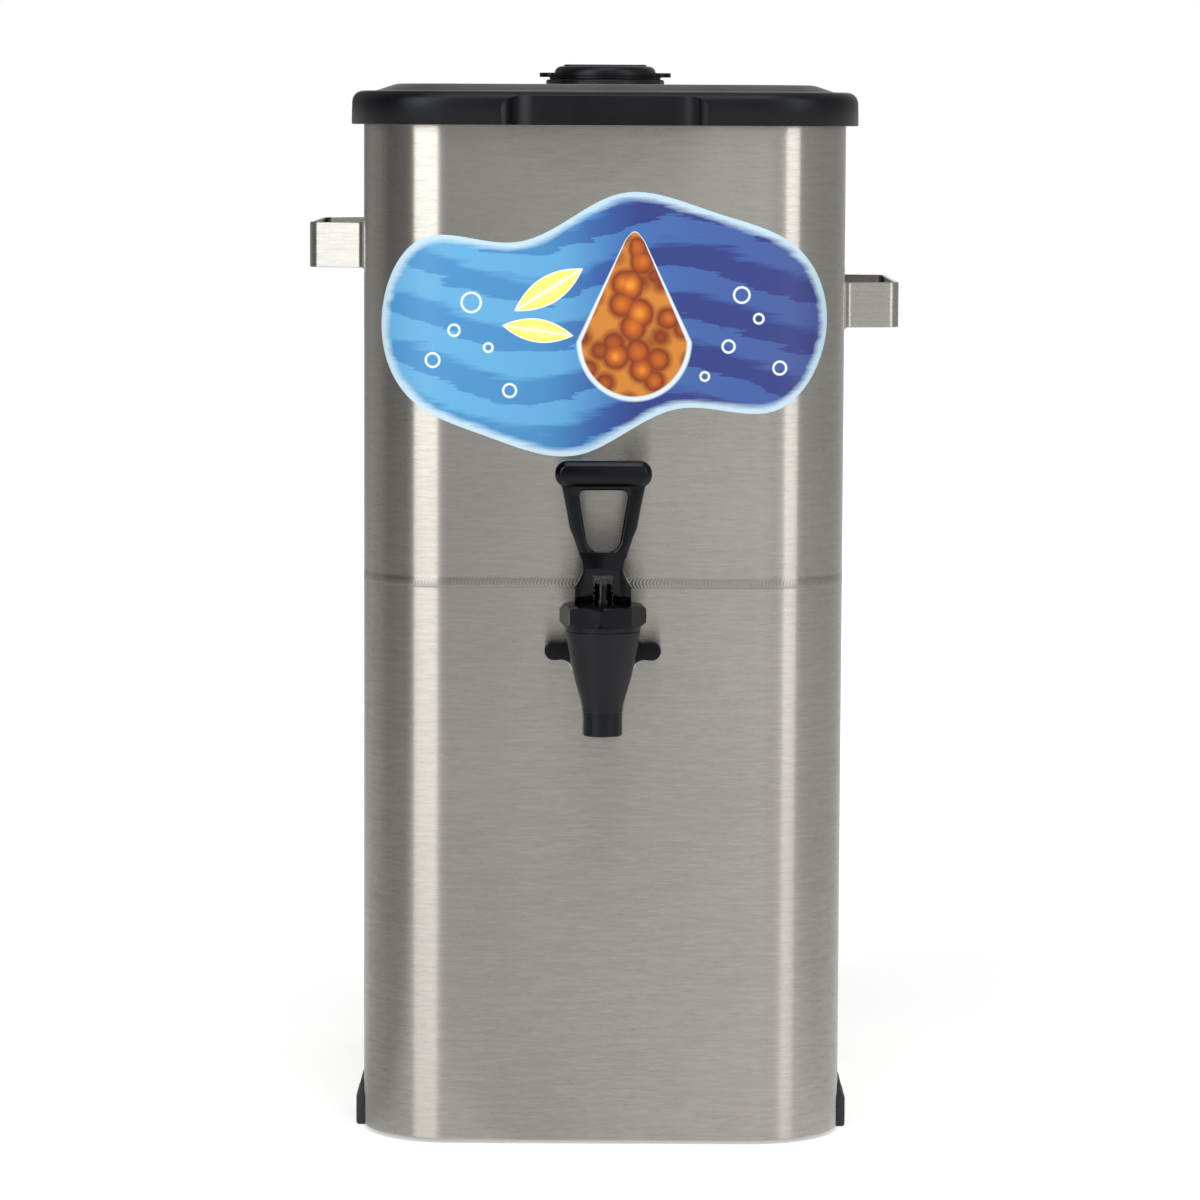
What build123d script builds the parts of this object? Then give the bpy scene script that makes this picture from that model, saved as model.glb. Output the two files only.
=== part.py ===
from build123d import *

import math
import os

# Iced tea dispenser: a narrow stainless tank on rubber feet, with a lift-off moulded lid and a
# self-closing tap. Millimetres, +Z up, the front towards -Y. The origin is on the surface that
# the feet stand on, under the middle of the whole footprint, tap included.

through = 60.0  # long enough to pass right through any small moulding

# Tank body, a one-piece wrap of sheet with round corners
body_width = 228.0
body_depth = 292.0
corner_radius = 44.0
sheet = 1.0
body_bottom = 2.0  # the feet hold the lower edge this far off the surface
body_top = 493.5
tank_y = 24.0  # middle of the tank, so that the tap and the lid reach equally far
hem_out = 2.0  # rolled rim under the lid
hem_height = 4.0

# Weld that joins the drawn pan to the wrap
seam_z = 267.0
seam_height = 4.2
seam_proud = 0.35

# Drawn pan that is the tank's floor
pan_sheet = 1.0
pan_top = 274.0
pan_floor = 209.0
pan_bevel = 6.0

# Side handles, bent from strap and welded on by their turned flanges
strap_thick = 1.8
strap_height = 21.7
handle_reach = 28.5  # outer face of the strap from the tank's side
handle_half_length = 57.5
handle_splay = 6.5  # how much further out each leg stands where it meets the tank
handle_flange = 18.0
handle_bend = 5.0
left_handle_z = 411.5
right_handle_z = 383.7

# Rubber feet, clipped over the lower edge at the ends of each flat side
foot_length = 30.0
foot_height = 20.8
foot_proud = 3.8
foot_lip = 1.9
foot_pad_top = 13.9
foot_bevel_top = 17.6
foot_inside = 3.0
foot_inside_top = 16.8
foot_round = 1.5
foot_front = 101.0  # outer end of a foot from the tank's middle

# Printed film on the front
film_thick = 0.2
film_bottom = 327.0
film_top = 449.0
film_half_width = 104.5
film_corner_slack = 0.4  # a smaller corner radius, so that the film stands just clear there
film_margin = 5.0
film_depth = 60.0  # how far back the outline is cut, past where the film wraps to
film_wave = [  # the outline's points: across, and up from the film's middle
    (-film_half_width, 0.0),
    (-84.0, 40.0),
    (-42.0, 38.0),
    (8.0, 61.0),
    (52.0, 52.0),
    (90.0, 36.0),
    (film_half_width, 2.0),
    (80.0, -40.0),
    (36.0, -39.0),
    (-12.0, -61.0),
    (-56.0, -52.0),
    (-92.0, -34.0),
]

# Lid
lid_bottom = 480.4
lid_top = 496.2
lid_overhang = 5.9
lid_wall = 2.5
shoulder = 4.0
lid_draft = 1.0
ridge_inset = 12.0
ridge_top = 499.5
ridge_slope = 10.0
ridge_root = 0.2  # how far the ridge starts inside the lid's top
dish_inset = 30.0
dish_floor = 496.0
dish_depth = 10.0
dish_slope = 30.0  # degrees
ridge_hollow_outer = 14.0
ridge_hollow_inner = 24.5
ridge_hollow_height = 3.4
grip_half = 46.0
grip_top = 494.0
grip_proud = 8.0
grip_proud_rear = 4.0  # shallower, as the lid's rear often stands against a wall
grip_bevel = 2.0
grip_front_share = 0.6  # of how proud it is, rounded off at the outer corners
grip_base_share = 0.35  # of how proud it is, flared at the skirt
grip_corner = 12.0
grip_sunk = 0.3  # the flared base ends this far inside the drafted skirt
collar_radius = 29.1
collar_top = 502.6
fill_radius = 25.2

# Cap in the lid's filling hole
tab_bottom = 503.8
cap_disc_radius = 27.5
disc_top = 505.9
cap_tab_span = 64.7
cap_tab_width = 15.0
cap_dome_radius = 24.65
cap_top = 510.0
cap_rib_rise = 0.9
cap_rib_length = 41.0
cap_rib_width = 9.0
plug_radius = 24.6
plug_depth = 15.0
plug_wall = 2.2

# Tap, on a vertical axis in front of the tank
tap_reach = 38.0
tap_y = tank_y - body_depth / 2 - tap_reach
front_y = tank_y - body_depth / 2
shank_z = 236.5
shank_radius = 12.0
shank_bore = 8.2
shank_hole = 12.3
gasket_thick = 1.5
shank_hex_flats = 30.0
gasket_radius = 17.5
shank_flange = 2.5
thread_length = 10.0
shank_inside = 16.0
nut_flats = 32.0
nut_thick = 8.0

tail_flange_radius = 12.0
tail_flange = 1.6
tail_bore = 5.2
neck_radius = 9.5

wing_hub_radius = 16.0
wing_span = 54.4
wing_thick = 8.4
wing_web = 1.9
wing_gap = 0.5  # between the hub and the shank's flange
wing_back_step = 1.0  # the wings stop short of the hub at both ends
wing_front_step = 1.5
thread_clear = 0.3
wing_fillet = 6.0

cone_top = 251.0
cone_top_radius = 17.4
cone_rim = 248.4
cone_waist = 228.6
cone_waist_radius = 13.6
spout_radius = 9.2
spout_top = 213.0
spout_bottom = 200.0
spout_bore = 6.5
chamber_radius = 11.5
seat_z = 226.0

bonnet_top = 260.8
bonnet_corner_radius = 20.05
bonnet_bevel = 1.3
bonnet_turn = 4.0  # degrees, as it happened to be tightened
bonnet_plug_bottom = 246.0
bonnet_plug_clear = 0.1

stem_radius = 4.05
stem_clear = 0.1
stem_top = 270.3
pin_z = 267.0
pin_radius = 1.6
pin_clear = 0.05
cup_radius = 10.4
cup_top = 231.5
stem_bottom = 227.5
spring_radius = 7.2
spring_wire = 1.0

# Tap handle
bar_half_width = 22.3
bar_bottom = 314.9
bar_top = 327.2
bar_thick = 12.4
bar_end_round = 5.8
bar_bevel = 2.6
fork_half_width = 12.9
fork_top = 277.0
fork_block_top = 285.0
fork_back = 7.4
fork_back_half = 3.0
fork_back_step = 1.0
brow_reach = 8.4  # a point of the fork's front above the cheeks, from the tap's axis and the pin
brow_rise = 7.5
nape_reach = 5.4  # the same at its back
nape_rise = 11.0
cheek_top = 269.6
cheek_mid = (10.7, 273.0)
neck_half = 9.1
neck_mid = (9.6, 281.0)
neck_top_half = 11.0
leg_half_thick = 4.3
leg_bevel = 1.4
loop_bottom = 281.0
loop_bottom_half = 10.4
loop_low = (12.8, 289.2)
loop_waist = (15.6, 296.5)
loop_high = (17.6, 307.6)
loop_top_half = 19.6
loop_into_bar = 2.0
window_top = 313.5
window_top_half = 11.5
window_top_round = 2.6
window_low = 288.6
window_low_half = 7.4
window_low_round = 3.0
window_bottom = 284.9
window_base_half = 3.8
window_base_round = 3.4
slot_half_width = 4.6
slot_top = 274.4
recess_half = 7.5
recess_top = 277.4
recess_floor = 4.5  # how far in front of the tap's axis the recess ends
arch_half = 11.6
arch_mid = (9.4, 263.8)
arch_rise = 4.2
arch_back = 4.0
pull_angle = 60.0  # full pull, in degrees
lift_per_radian = 4.8  # stem lift that the cam gives
cam_clear = 0.04


def at(z, y=tank_y):
    """Horizontal plane at a height, by default centred on the tank."""
    return Plane(origin=(0, y, z))


def upright(y):
    """Plane across the width at a depth: its own x and y are the model's X and Z."""
    return Plane(origin=(0, y, 0), x_dir=(1, 0, 0), z_dir=(0, -1, 0))


def lengthwise(x, z=0.0):
    """Plane along the depth: its own x and y are the model's Y and Z above the given height."""
    return Plane(origin=(x, 0, z), x_dir=(0, 1, 0), z_dir=(1, 0, 0))


def tank_outline(inset, z, radius=None):
    """The tank's plan, drawn in by an inset, at a height."""
    if radius is None:
        radius = corner_radius - inset
    with BuildSketch(at(z)) as outline:
        RectangleRounded(body_width - 2 * inset, body_depth - 2 * inset, radius)
    return outline.sketch


def spun(points, plane):
    """A closed face from points, to be revolved."""
    with BuildSketch(plane) as outline:
        with BuildLine():
            Polyline(*points, close=True)
        make_face()
    return outline.sketch


tap_axis = Axis((0, tap_y, 0), (0, 0, 1))
shank_axis = Axis((0, 0, shank_z), (0, 1, 0))

os.makedirs("parts", exist_ok=True)

# Body shell, with the weld band and the rolled rim
with BuildPart() as body_shell:
    extrude(tank_outline(0, body_bottom), amount=body_top - body_bottom)
    extrude(tank_outline(-seam_proud, seam_z - seam_height / 2), amount=seam_height)
    extrude(tank_outline(-hem_out, body_top - hem_height), amount=hem_height)
    extrude(tank_outline(sheet, body_bottom), amount=body_top - body_bottom, mode=Mode.SUBTRACT)
    with Locations(Plane(origin=(0, front_y, shank_z), z_dir=(0, -1, 0))):
        Cylinder(shank_hole, 4 * sheet, mode=Mode.SUBTRACT)
body_shell.part.label = "body_shell"
export_step(body_shell.part, "parts/body_shell.step")


def pan_block(inset, floor_z, radius):
    """Round-cornered block with a bevelled bottom: the pan's outside, or its inside."""
    with BuildPart() as block:
        extrude(tank_outline(inset, floor_z, radius), amount=pan_top - floor_z)
        chamfer(block.faces().sort_by(Axis.Z)[0].edges(), pan_bevel)
    return block.part


# Tank pan: its flat sides bear on the wrap, and its corners stand just clear
with BuildPart() as tank_pan:
    add(pan_block(sheet, pan_floor, corner_radius))
    add(pan_block(sheet + pan_sheet, pan_floor + pan_sheet, corner_radius - pan_sheet), mode=Mode.SUBTRACT)
    with Locations(Plane(origin=(0, front_y, shank_z), z_dir=(0, -1, 0))):
        Cylinder(shank_hole, 8 * sheet, mode=Mode.SUBTRACT)
tank_pan.part.label = "tank_pan"
export_step(tank_pan.part, "parts/tank_pan.step")


def side_handle(side, bottom):
    """Strap handle on one side of the tank: side is -1 for the left and 1 for the right."""
    flat = side * (body_width / 2 + strap_thick / 2)
    out = side * (body_width / 2 + handle_reach - strap_thick / 2)
    leg = handle_half_length
    base = leg + handle_splay
    with BuildPart() as strap:
        with BuildSketch(at(bottom)):
            with BuildLine():
                FilletPolyline(
                    (flat, -base - handle_flange),
                    (flat, -base),
                    (out, -leg),
                    (out, leg),
                    (flat, base),
                    (flat, base + handle_flange),
                    radius=handle_bend,
                )
            trace(line_width=strap_thick)
        extrude(amount=strap_height)
    return strap.part


left_handle = side_handle(-1, left_handle_z)
left_handle.label = "left_handle"
export_step(left_handle, "parts/left_handle.step")

right_handle = side_handle(1, right_handle_z)
right_handle.label = "right_handle"
export_step(right_handle, "parts/right_handle.step")


def foot(side, end):
    """Rubber foot: side is -1 left or 1 right, end is -1 front or 1 rear."""
    wall = body_width / 2
    with BuildPart() as block:
        with BuildSketch(upright(tank_y + end * (foot_front - foot_length / 2))):
            with BuildLine():
                Polyline(
                    (side * (wall - sheet - foot_inside), 0),
                    (side * (wall + foot_proud), 0),
                    (side * (wall + foot_proud), foot_pad_top),
                    (side * (wall + foot_lip), foot_bevel_top),
                    (side * (wall + foot_lip), foot_height),
                    (side * wall, foot_height),
                    (side * wall, body_bottom),
                    (side * (wall - sheet), body_bottom),
                    (side * (wall - sheet), foot_inside_top),
                    (side * (wall - sheet - foot_inside), foot_inside_top),
                    close=True,
                )
            make_face()
        extrude(amount=foot_length / 2, both=True)
        fillet(block.edges().filter_by(Axis.Y).filter_by_position(Axis.Z, -0.1, 0.1), foot_round)
    return block.part


for foot_name, foot_side, foot_end in (
    ("foot_front_left", -1, -1),
    ("foot_front_right", 1, -1),
    ("foot_rear_left", -1, 1),
    ("foot_rear_right", 1, 1),
):
    one_foot = foot(foot_side, foot_end)
    one_foot.label = foot_name
    export_step(one_foot, f"parts/{foot_name}.step")

# Printed film on the front: a wave-edged banner that wraps a little way round both corners
film_middle = (film_bottom + film_top) / 2
film_base = film_bottom - film_margin
film_height = film_top - film_bottom + 2 * film_margin
with BuildPart() as front_decal:
    with BuildSketch(upright(front_y - 1)):
        with BuildLine():
            Spline(*[(x, film_middle + rise) for x, rise in film_wave], periodic=True)
        make_face()
    extrude(amount=-film_depth)
    film_skin = extrude(tank_outline(-film_thick, film_base), amount=film_height, mode=Mode.PRIVATE)
    film_back = extrude(
        tank_outline(0, film_base, corner_radius - film_corner_slack), amount=film_height, mode=Mode.PRIVATE
    )
    add(film_skin, mode=Mode.INTERSECT)
    add(film_back, mode=Mode.SUBTRACT)
front_decal.part.label = "front_decal"
export_step(front_decal.part, "parts/front_decal.step")


def lid_grip(end, proud):
    """Finger block on the lid's front (-1) or rear (1) edge, flared where it leaves the skirt."""
    skirt = body_depth / 2 + lid_overhang
    root = skirt - lid_wall
    flare = skirt - grip_sunk
    face = skirt + proud
    base_round = grip_base_share * proud
    wide = grip_half + base_round
    with BuildPart() as grip:
        with BuildSketch(at(lid_bottom)) as plan:
            with Locations((0, end * (root + flare) / 2)):
                Rectangle(3 * grip_half, flare - root)
            with Locations((0, end * (root + face) / 2)):
                Rectangle(2 * grip_half, face - root)
            inner = [corner for corner in plan.vertices() if abs(abs(corner.X) - grip_half) < 0.01]
            fillet([corner for corner in inner if abs(corner.Y) < face - 0.01], base_round)
            outer = [corner for corner in plan.vertices() if abs(corner.Y) > face - 0.01]
            fillet(outer, grip_front_share * proud)
        extrude(amount=grip_top - lid_bottom)
        top_edges = grip.faces().sort_by(Axis.Z)[-1].edges()
        chamfer([edge for edge in top_edges if abs(edge.center().Y - tank_y) > skirt + 1], grip_bevel)
        with BuildSketch(upright(tank_y + end * root)):
            with Locations((0, lid_bottom)):
                RectangleRounded(2 * wide, 2 * (grip_top - lid_bottom), grip_corner)
        extrude(amount=through, both=True, mode=Mode.INTERSECT)
    return grip.part


def ridge_hollow():
    """The groove under the lid's ridge that keeps its wall even."""
    with BuildPart() as groove:
        extrude(tank_outline(ridge_hollow_outer, body_top), amount=ridge_hollow_height)
        extrude(tank_outline(ridge_hollow_inner, body_top), amount=ridge_hollow_height, mode=Mode.SUBTRACT)
    return groove.part


# Lid moulding: drafted skirt, bevelled shoulder, hollow ridge, dished middle, filling collar
ridge_rise = ridge_top - lid_top + ridge_root
ridge_taper = math.degrees(math.atan(ridge_slope / ridge_rise))
with BuildPart() as lid:
    extrude(tank_outline(-lid_overhang, lid_bottom), amount=lid_top - lid_bottom, taper=lid_draft)
    chamfer(lid.edges().group_by(Axis.Z)[-1], shoulder)
    add(lid_grip(-1, grip_proud))
    add(lid_grip(1, grip_proud_rear))
    extrude(
        tank_outline(ridge_inset - lid_overhang, lid_top - ridge_root),
        amount=ridge_rise,
        taper=ridge_taper,
    )
    extrude(
        tank_outline(dish_inset, dish_floor),
        amount=dish_depth,
        taper=-dish_slope,
        mode=Mode.SUBTRACT,
    )
    extrude(
        tank_outline(lid_wall - lid_overhang, lid_bottom),
        amount=body_top - lid_bottom,
        mode=Mode.SUBTRACT,
    )
    add(ridge_hollow(), mode=Mode.SUBTRACT)
    with BuildSketch(at(body_top)):
        Circle(collar_radius)
    extrude(amount=collar_top - body_top)
    with BuildSketch(at(lid_bottom)):
        Circle(fill_radius)
    extrude(amount=collar_top - lid_bottom, mode=Mode.SUBTRACT)
lid.part.label = "lid"
export_step(lid.part, "parts/lid.step")

# Cap: tabbed disc, domed top with a grip rib, and a hollow plug in the filling hole
with BuildPart() as lid_cap:
    with BuildSketch(at(disc_top)):
        Circle(cap_dome_radius)
    extrude(amount=cap_top - cap_rib_rise - disc_top)
    with BuildSketch(at(collar_top)):
        Circle(cap_disc_radius)
    extrude(amount=disc_top - collar_top)
    with BuildSketch(at(tab_bottom)):
        SlotOverall(cap_tab_span, cap_tab_width)
    extrude(amount=disc_top - tab_bottom)
    with BuildSketch(at(disc_top)):
        SlotOverall(cap_rib_length, cap_rib_width)
    extrude(amount=cap_top - disc_top)
    with BuildSketch(at(collar_top)):
        Circle(plug_radius)
    extrude(amount=-plug_depth)
    with BuildSketch(at(collar_top - plug_depth)):
        Circle(plug_radius - plug_wall)
    extrude(amount=plug_depth, mode=Mode.SUBTRACT)
lid_cap.part.label = "lid_cap"
export_step(lid_cap.part, "parts/lid_cap.step")

# Tank fitting: gasket, flanged threaded shank, inner gasket and nut
flange_y = front_y - gasket_thick - shank_flange
thread_end = flange_y - thread_length
inside_y = front_y + sheet + pan_sheet
shank_back = front_y + shank_inside

with BuildPart() as outer_gasket:
    with BuildSketch(Plane(origin=(0, front_y, shank_z), z_dir=(0, -1, 0))):
        Circle(gasket_radius)
        Circle(shank_radius, mode=Mode.SUBTRACT)
    extrude(amount=gasket_thick)
outer_gasket.part.label = "outer_gasket"
export_step(outer_gasket.part, "parts/outer_gasket.step")

with BuildPart() as tank_shank:
    with BuildSketch(Plane(origin=(0, flange_y + shank_flange, shank_z), z_dir=(0, -1, 0))):
        RegularPolygon(shank_hex_flats / 2, 6, major_radius=False)
    extrude(amount=shank_flange)
    with BuildSketch(Plane(origin=(0, shank_back, shank_z), z_dir=(0, -1, 0))):
        Circle(shank_radius)
    extrude(amount=shank_back - thread_end)
    with BuildSketch(Plane(origin=(0, shank_back, shank_z), z_dir=(0, -1, 0))):
        Circle(shank_bore)
    extrude(amount=shank_back - thread_end, mode=Mode.SUBTRACT)
tank_shank.part.label = "tank_shank"
export_step(tank_shank.part, "parts/tank_shank.step")

with BuildPart() as shank_nut:
    with BuildSketch(Plane(origin=(0, inside_y, shank_z), z_dir=(0, 1, 0))):
        RegularPolygon(nut_flats / 2, 6, major_radius=False)
        Circle(shank_radius, mode=Mode.SUBTRACT)
    extrude(amount=nut_thick)
shank_nut.part.label = "shank_nut"
export_step(shank_nut.part, "parts/shank_nut.step")

# Wing nut: it turns on the shank's thread and pulls the tap's tail flange against it
flange_front = thread_end - tail_flange
hub_back = flange_y - wing_gap
hub_front = flange_front - wing_web
with BuildPart() as wing_nut:
    with BuildSketch(Plane(origin=(0, hub_back, shank_z), z_dir=(0, -1, 0))):
        Circle(wing_hub_radius)
    extrude(amount=hub_back - hub_front)
    with BuildSketch(upright(hub_back - wing_back_step)) as wing_sketch:
        with Locations((0, shank_z)):
            SlotOverall(wing_span, wing_thick)
            Circle(wing_hub_radius)
        join = wing_sketch.vertices().filter_by_position(Axis.X, -wing_hub_radius, wing_hub_radius)
        fillet(join, wing_fillet)
    extrude(amount=hub_back - hub_front - wing_back_step - wing_front_step)
    revolve(
        spun(
            (
                (hub_back, 0),
                (hub_back, shank_radius + thread_clear),
                (flange_front, shank_radius + thread_clear),
                (flange_front, neck_radius + thread_clear),
                (hub_front, neck_radius + thread_clear),
                (hub_front, 0),
            ),
            lengthwise(0, shank_z),
        ),
        axis=shank_axis,
        mode=Mode.SUBTRACT,
    )
wing_nut.part.label = "wing_nut"
export_step(wing_nut.part, "parts/wing_nut.step")

# Tap body: tapered shell, straight spout, valve seat, and a flanged tail that seats on the shank
with BuildPart() as faucet_body:
    with BuildSketch(upright(tap_y)):
        with BuildLine():
            Polyline(
                (0, cone_top),
                (cone_top_radius, cone_top),
                (cone_top_radius, cone_rim),
                (cone_waist_radius, cone_waist),
                (spout_radius, spout_top),
                (spout_radius, spout_bottom),
                (0, spout_bottom),
                close=True,
            )
        make_face()
    revolve(axis=tap_axis)
    revolve(
        spun(
            (
                (thread_end, 0),
                (thread_end, tail_flange_radius),
                (flange_front, tail_flange_radius),
                (flange_front, neck_radius),
                (tap_y + chamber_radius / 2, neck_radius),
                (tap_y + chamber_radius / 2, 0),
            ),
            lengthwise(0, shank_z),
        ),
        axis=shank_axis,
    )
    revolve(
        spun(
            (
                (0, cone_top),
                (chamber_radius, cone_top),
                (chamber_radius, seat_z),
                (spout_bore, seat_z),
                (spout_bore, spout_bottom),
                (0, spout_bottom),
            ),
            upright(tap_y),
        ),
        axis=tap_axis,
        mode=Mode.SUBTRACT,
    )
    with BuildSketch(Plane(origin=(0, thread_end, shank_z), z_dir=(0, -1, 0))):
        Circle(tail_bore)
    extrude(amount=thread_end - tap_y, mode=Mode.SUBTRACT)
faucet_body.part.label = "faucet_body"
export_step(faucet_body.part, "parts/faucet_body.step")

# Bonnet: eight-sided nut with a plug that screws into the body, bored for the stem
with BuildPart() as faucet_bonnet:
    with BuildSketch(at(cone_top, tap_y)):
        RegularPolygon(bonnet_corner_radius, 8, rotation=bonnet_turn)
    extrude(amount=bonnet_top - cone_top)
    chamfer(faucet_bonnet.faces().filter_by(Axis.Z).edges(), bonnet_bevel)
    revolve(
        spun(
            (
                (0, bonnet_plug_bottom),
                (chamber_radius - bonnet_plug_clear, bonnet_plug_bottom),
                (chamber_radius - bonnet_plug_clear, cone_top),
                (0, cone_top),
            ),
            upright(tap_y),
        ),
        axis=tap_axis,
    )
    revolve(
        spun(
            (
                (0, bonnet_plug_bottom),
                (stem_radius + stem_clear, bonnet_plug_bottom),
                (stem_radius + stem_clear, bonnet_top),
                (0, bonnet_top),
            ),
            upright(tap_y),
        ),
        axis=tap_axis,
        mode=Mode.SUBTRACT,
    )
faucet_bonnet.part.label = "faucet_bonnet"
export_step(faucet_bonnet.part, "parts/faucet_bonnet.step")

# Valve stem with its seat cup and spring
with BuildPart() as valve_stem:
    revolve(
        spun(
            (
                (0, stem_bottom),
                (stem_radius, stem_bottom),
                (stem_radius, stem_top),
                (0, stem_top),
            ),
            upright(tap_y),
        ),
        axis=tap_axis,
    )
    with BuildSketch(Plane(origin=(0, tap_y, pin_z), z_dir=(1, 0, 0))):
        Circle(pin_radius + pin_clear)
    extrude(amount=through, both=True, mode=Mode.SUBTRACT)
valve_stem.part.label = "valve_stem"
export_step(valve_stem.part, "parts/valve_stem.step")

with BuildPart() as seat_cup:
    with BuildSketch(at(seat_z, tap_y)):
        Circle(cup_radius)
    extrude(amount=cup_top - seat_z)
    with BuildSketch(at(stem_bottom, tap_y)):
        Circle(stem_radius)
    extrude(amount=cup_top - stem_bottom, mode=Mode.SUBTRACT)
seat_cup.part.label = "seat_cup"
export_step(seat_cup.part, "parts/seat_cup.step")

with BuildPart() as stem_spring:
    with BuildSketch(at(cup_top, tap_y)):
        Circle(spring_radius)
        Circle(spring_radius - spring_wire, mode=Mode.SUBTRACT)
    extrude(amount=bonnet_plug_bottom - cup_top)
stem_spring.part.label = "stem_spring"
export_step(stem_spring.part, "parts/stem_spring.step")

# Tap handle. Its cheeks are cams: pulled forward about the pin, they push the bonnet away from
# the pin by the same amount for each degree, so that the stem lifts steadily.
cam_low = pin_z - bonnet_top - cam_clear


def cam_point(angle):
    """Point of the cam that meets the bonnet at a pull in degrees, in the model's Y and Z."""
    turn = math.radians(angle)
    reach = cam_low + lift_per_radian * turn
    y = -reach * math.sin(turn) - lift_per_radian * math.cos(turn)
    z = -reach * math.cos(turn) + lift_per_radian * math.sin(turn)
    return (tap_y + y, pin_z + z)


def fork_block():
    """The fork before its slot is cut: side profile and front outline, intersected."""
    with BuildPart() as fork:
        with BuildSketch(lengthwise(0)):
            with BuildLine():
                ThreePointArc(cam_point(0), cam_point(pull_angle / 4), cam_point(pull_angle / 2))
                ThreePointArc(
                    cam_point(pull_angle / 2), cam_point(pull_angle * 3 / 4), cam_point(pull_angle)
                )
                ThreePointArc(
                    cam_point(pull_angle),
                    (tap_y - brow_reach, pin_z + brow_rise),
                    (tap_y - leg_half_thick, fork_block_top),
                )
                Line((tap_y - leg_half_thick, fork_block_top), (tap_y + leg_half_thick, fork_block_top))
                ThreePointArc(
                    (tap_y + leg_half_thick, fork_block_top),
                    (tap_y + nape_reach, pin_z + nape_rise),
                    (tap_y + fork_back, pin_z + fork_back_half),
                )
                Polyline(
                    (tap_y + fork_back, pin_z + fork_back_half),
                    (tap_y + fork_back, pin_z - fork_back_half),
                    (tap_y + fork_back - fork_back_step, bonnet_top),
                    cam_point(0),
                )
            make_face()
        extrude(amount=fork_half_width, both=True)
        with BuildSketch(upright(tap_y - through / 2)):
            with BuildLine():
                Line((0, bonnet_top), (fork_half_width, bonnet_top))
                Line((fork_half_width, bonnet_top), (fork_half_width, cheek_top))
                ThreePointArc((fork_half_width, cheek_top), cheek_mid, (neck_half, fork_top))
                ThreePointArc((neck_half, fork_top), neck_mid, (neck_top_half, fork_block_top))
                Line((neck_top_half, fork_block_top), (0, fork_block_top))
                mirror(about=Plane.YZ)
            make_face()
        extrude(amount=-through, mode=Mode.INTERSECT)
    return fork.part


def loop_frame():
    """The V-shaped frame of the finger loop, with its window, edges rounded."""
    with BuildPart() as frame:
        with BuildSketch(upright(tap_y)):
            with BuildLine():
                Line((0, loop_bottom), (loop_bottom_half, loop_bottom))
                ThreePointArc((loop_bottom_half, loop_bottom), loop_low, loop_waist)
                ThreePointArc(loop_waist, loop_high, (loop_top_half, bar_bottom + loop_into_bar))
                Line((loop_top_half, bar_bottom + loop_into_bar), (0, bar_bottom + loop_into_bar))
                mirror(about=Plane.YZ)
            make_face()
            with BuildSketch(mode=Mode.SUBTRACT) as window:
                Polygon(
                    (-window_base_half, window_bottom),
                    (window_base_half, window_bottom),
                    (window_low_half, window_low),
                    (window_top_half, window_top),
                    (-window_top_half, window_top),
                    (-window_low_half, window_low),
                    align=None,
                )
                fillet(window.vertices().group_by(Axis.Y)[1], window_low_round)
                fillet(window.vertices().group_by(Axis.Y)[0], window_base_round)
                fillet(window.vertices().group_by(Axis.Y)[-1], window_top_round)
        extrude(amount=leg_half_thick, both=True)
        outline = ShapeList()
        for side in frame.faces().filter_by(Axis.Y):
            outline += side.outer_wire().edges()
        chamfer(outline, leg_bevel)
    return frame.part


with BuildPart() as faucet_handle:
    with BuildSketch(lengthwise(-bar_half_width)):
        with Locations((tap_y, (bar_bottom + bar_top) / 2)):
            bar_section = Rectangle(bar_thick, bar_top - bar_bottom)
        chamfer(bar_section.vertices(), bar_bevel)
    extrude(amount=2 * bar_half_width)
    with BuildSketch(upright(tap_y + bar_thick)):
        with Locations((0, (bar_bottom + bar_top) / 2)):
            RectangleRounded(2 * bar_half_width, bar_top - bar_bottom, bar_end_round)
    extrude(amount=2 * bar_thick, mode=Mode.INTERSECT)
    add(loop_frame())
    add(fork_block())
    with BuildSketch(upright(tap_y - recess_floor)):
        with Locations((0, (recess_top + bonnet_top) / 2)):
            Rectangle(2 * recess_half, recess_top - bonnet_top)
    extrude(amount=through, mode=Mode.SUBTRACT)
    with BuildSketch(upright(tap_y)):
        with Locations((0, (slot_top + bonnet_top) / 2)):
            Rectangle(2 * slot_half_width, slot_top - bonnet_top)
    extrude(amount=through, both=True, mode=Mode.SUBTRACT)
    with BuildSketch(upright(tap_y + arch_back)):
        with BuildLine():
            Line((0, bonnet_top), (arch_half, bonnet_top))
            ThreePointArc((arch_half, bonnet_top), arch_mid, (slot_half_width, bonnet_top + arch_rise))
            Line((slot_half_width, bonnet_top + arch_rise), (0, bonnet_top + arch_rise))
            mirror(about=Plane.YZ)
        make_face()
    extrude(amount=through, mode=Mode.SUBTRACT)
    with BuildSketch(Plane(origin=(0, tap_y, pin_z), z_dir=(1, 0, 0))):
        Circle(pin_radius)
    extrude(amount=through, both=True, mode=Mode.SUBTRACT)
faucet_handle.part.label = "faucet_handle"
export_step(faucet_handle.part, "parts/faucet_handle.step")

with BuildPart() as handle_pin:
    with BuildSketch(Plane(origin=(-fork_half_width, tap_y, pin_z), z_dir=(1, 0, 0))):
        Circle(pin_radius)
    extrude(amount=2 * fork_half_width)
handle_pin.part.label = "handle_pin"
export_step(handle_pin.part, "parts/handle_pin.step")
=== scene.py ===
"""Looks for the iced tea dispenser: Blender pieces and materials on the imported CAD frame.

Lengths are written in millimetres and scaled to metres where the meshes are made.
"""

import math

import bmesh
import bpy
from mathutils import Matrix, Vector


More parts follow.
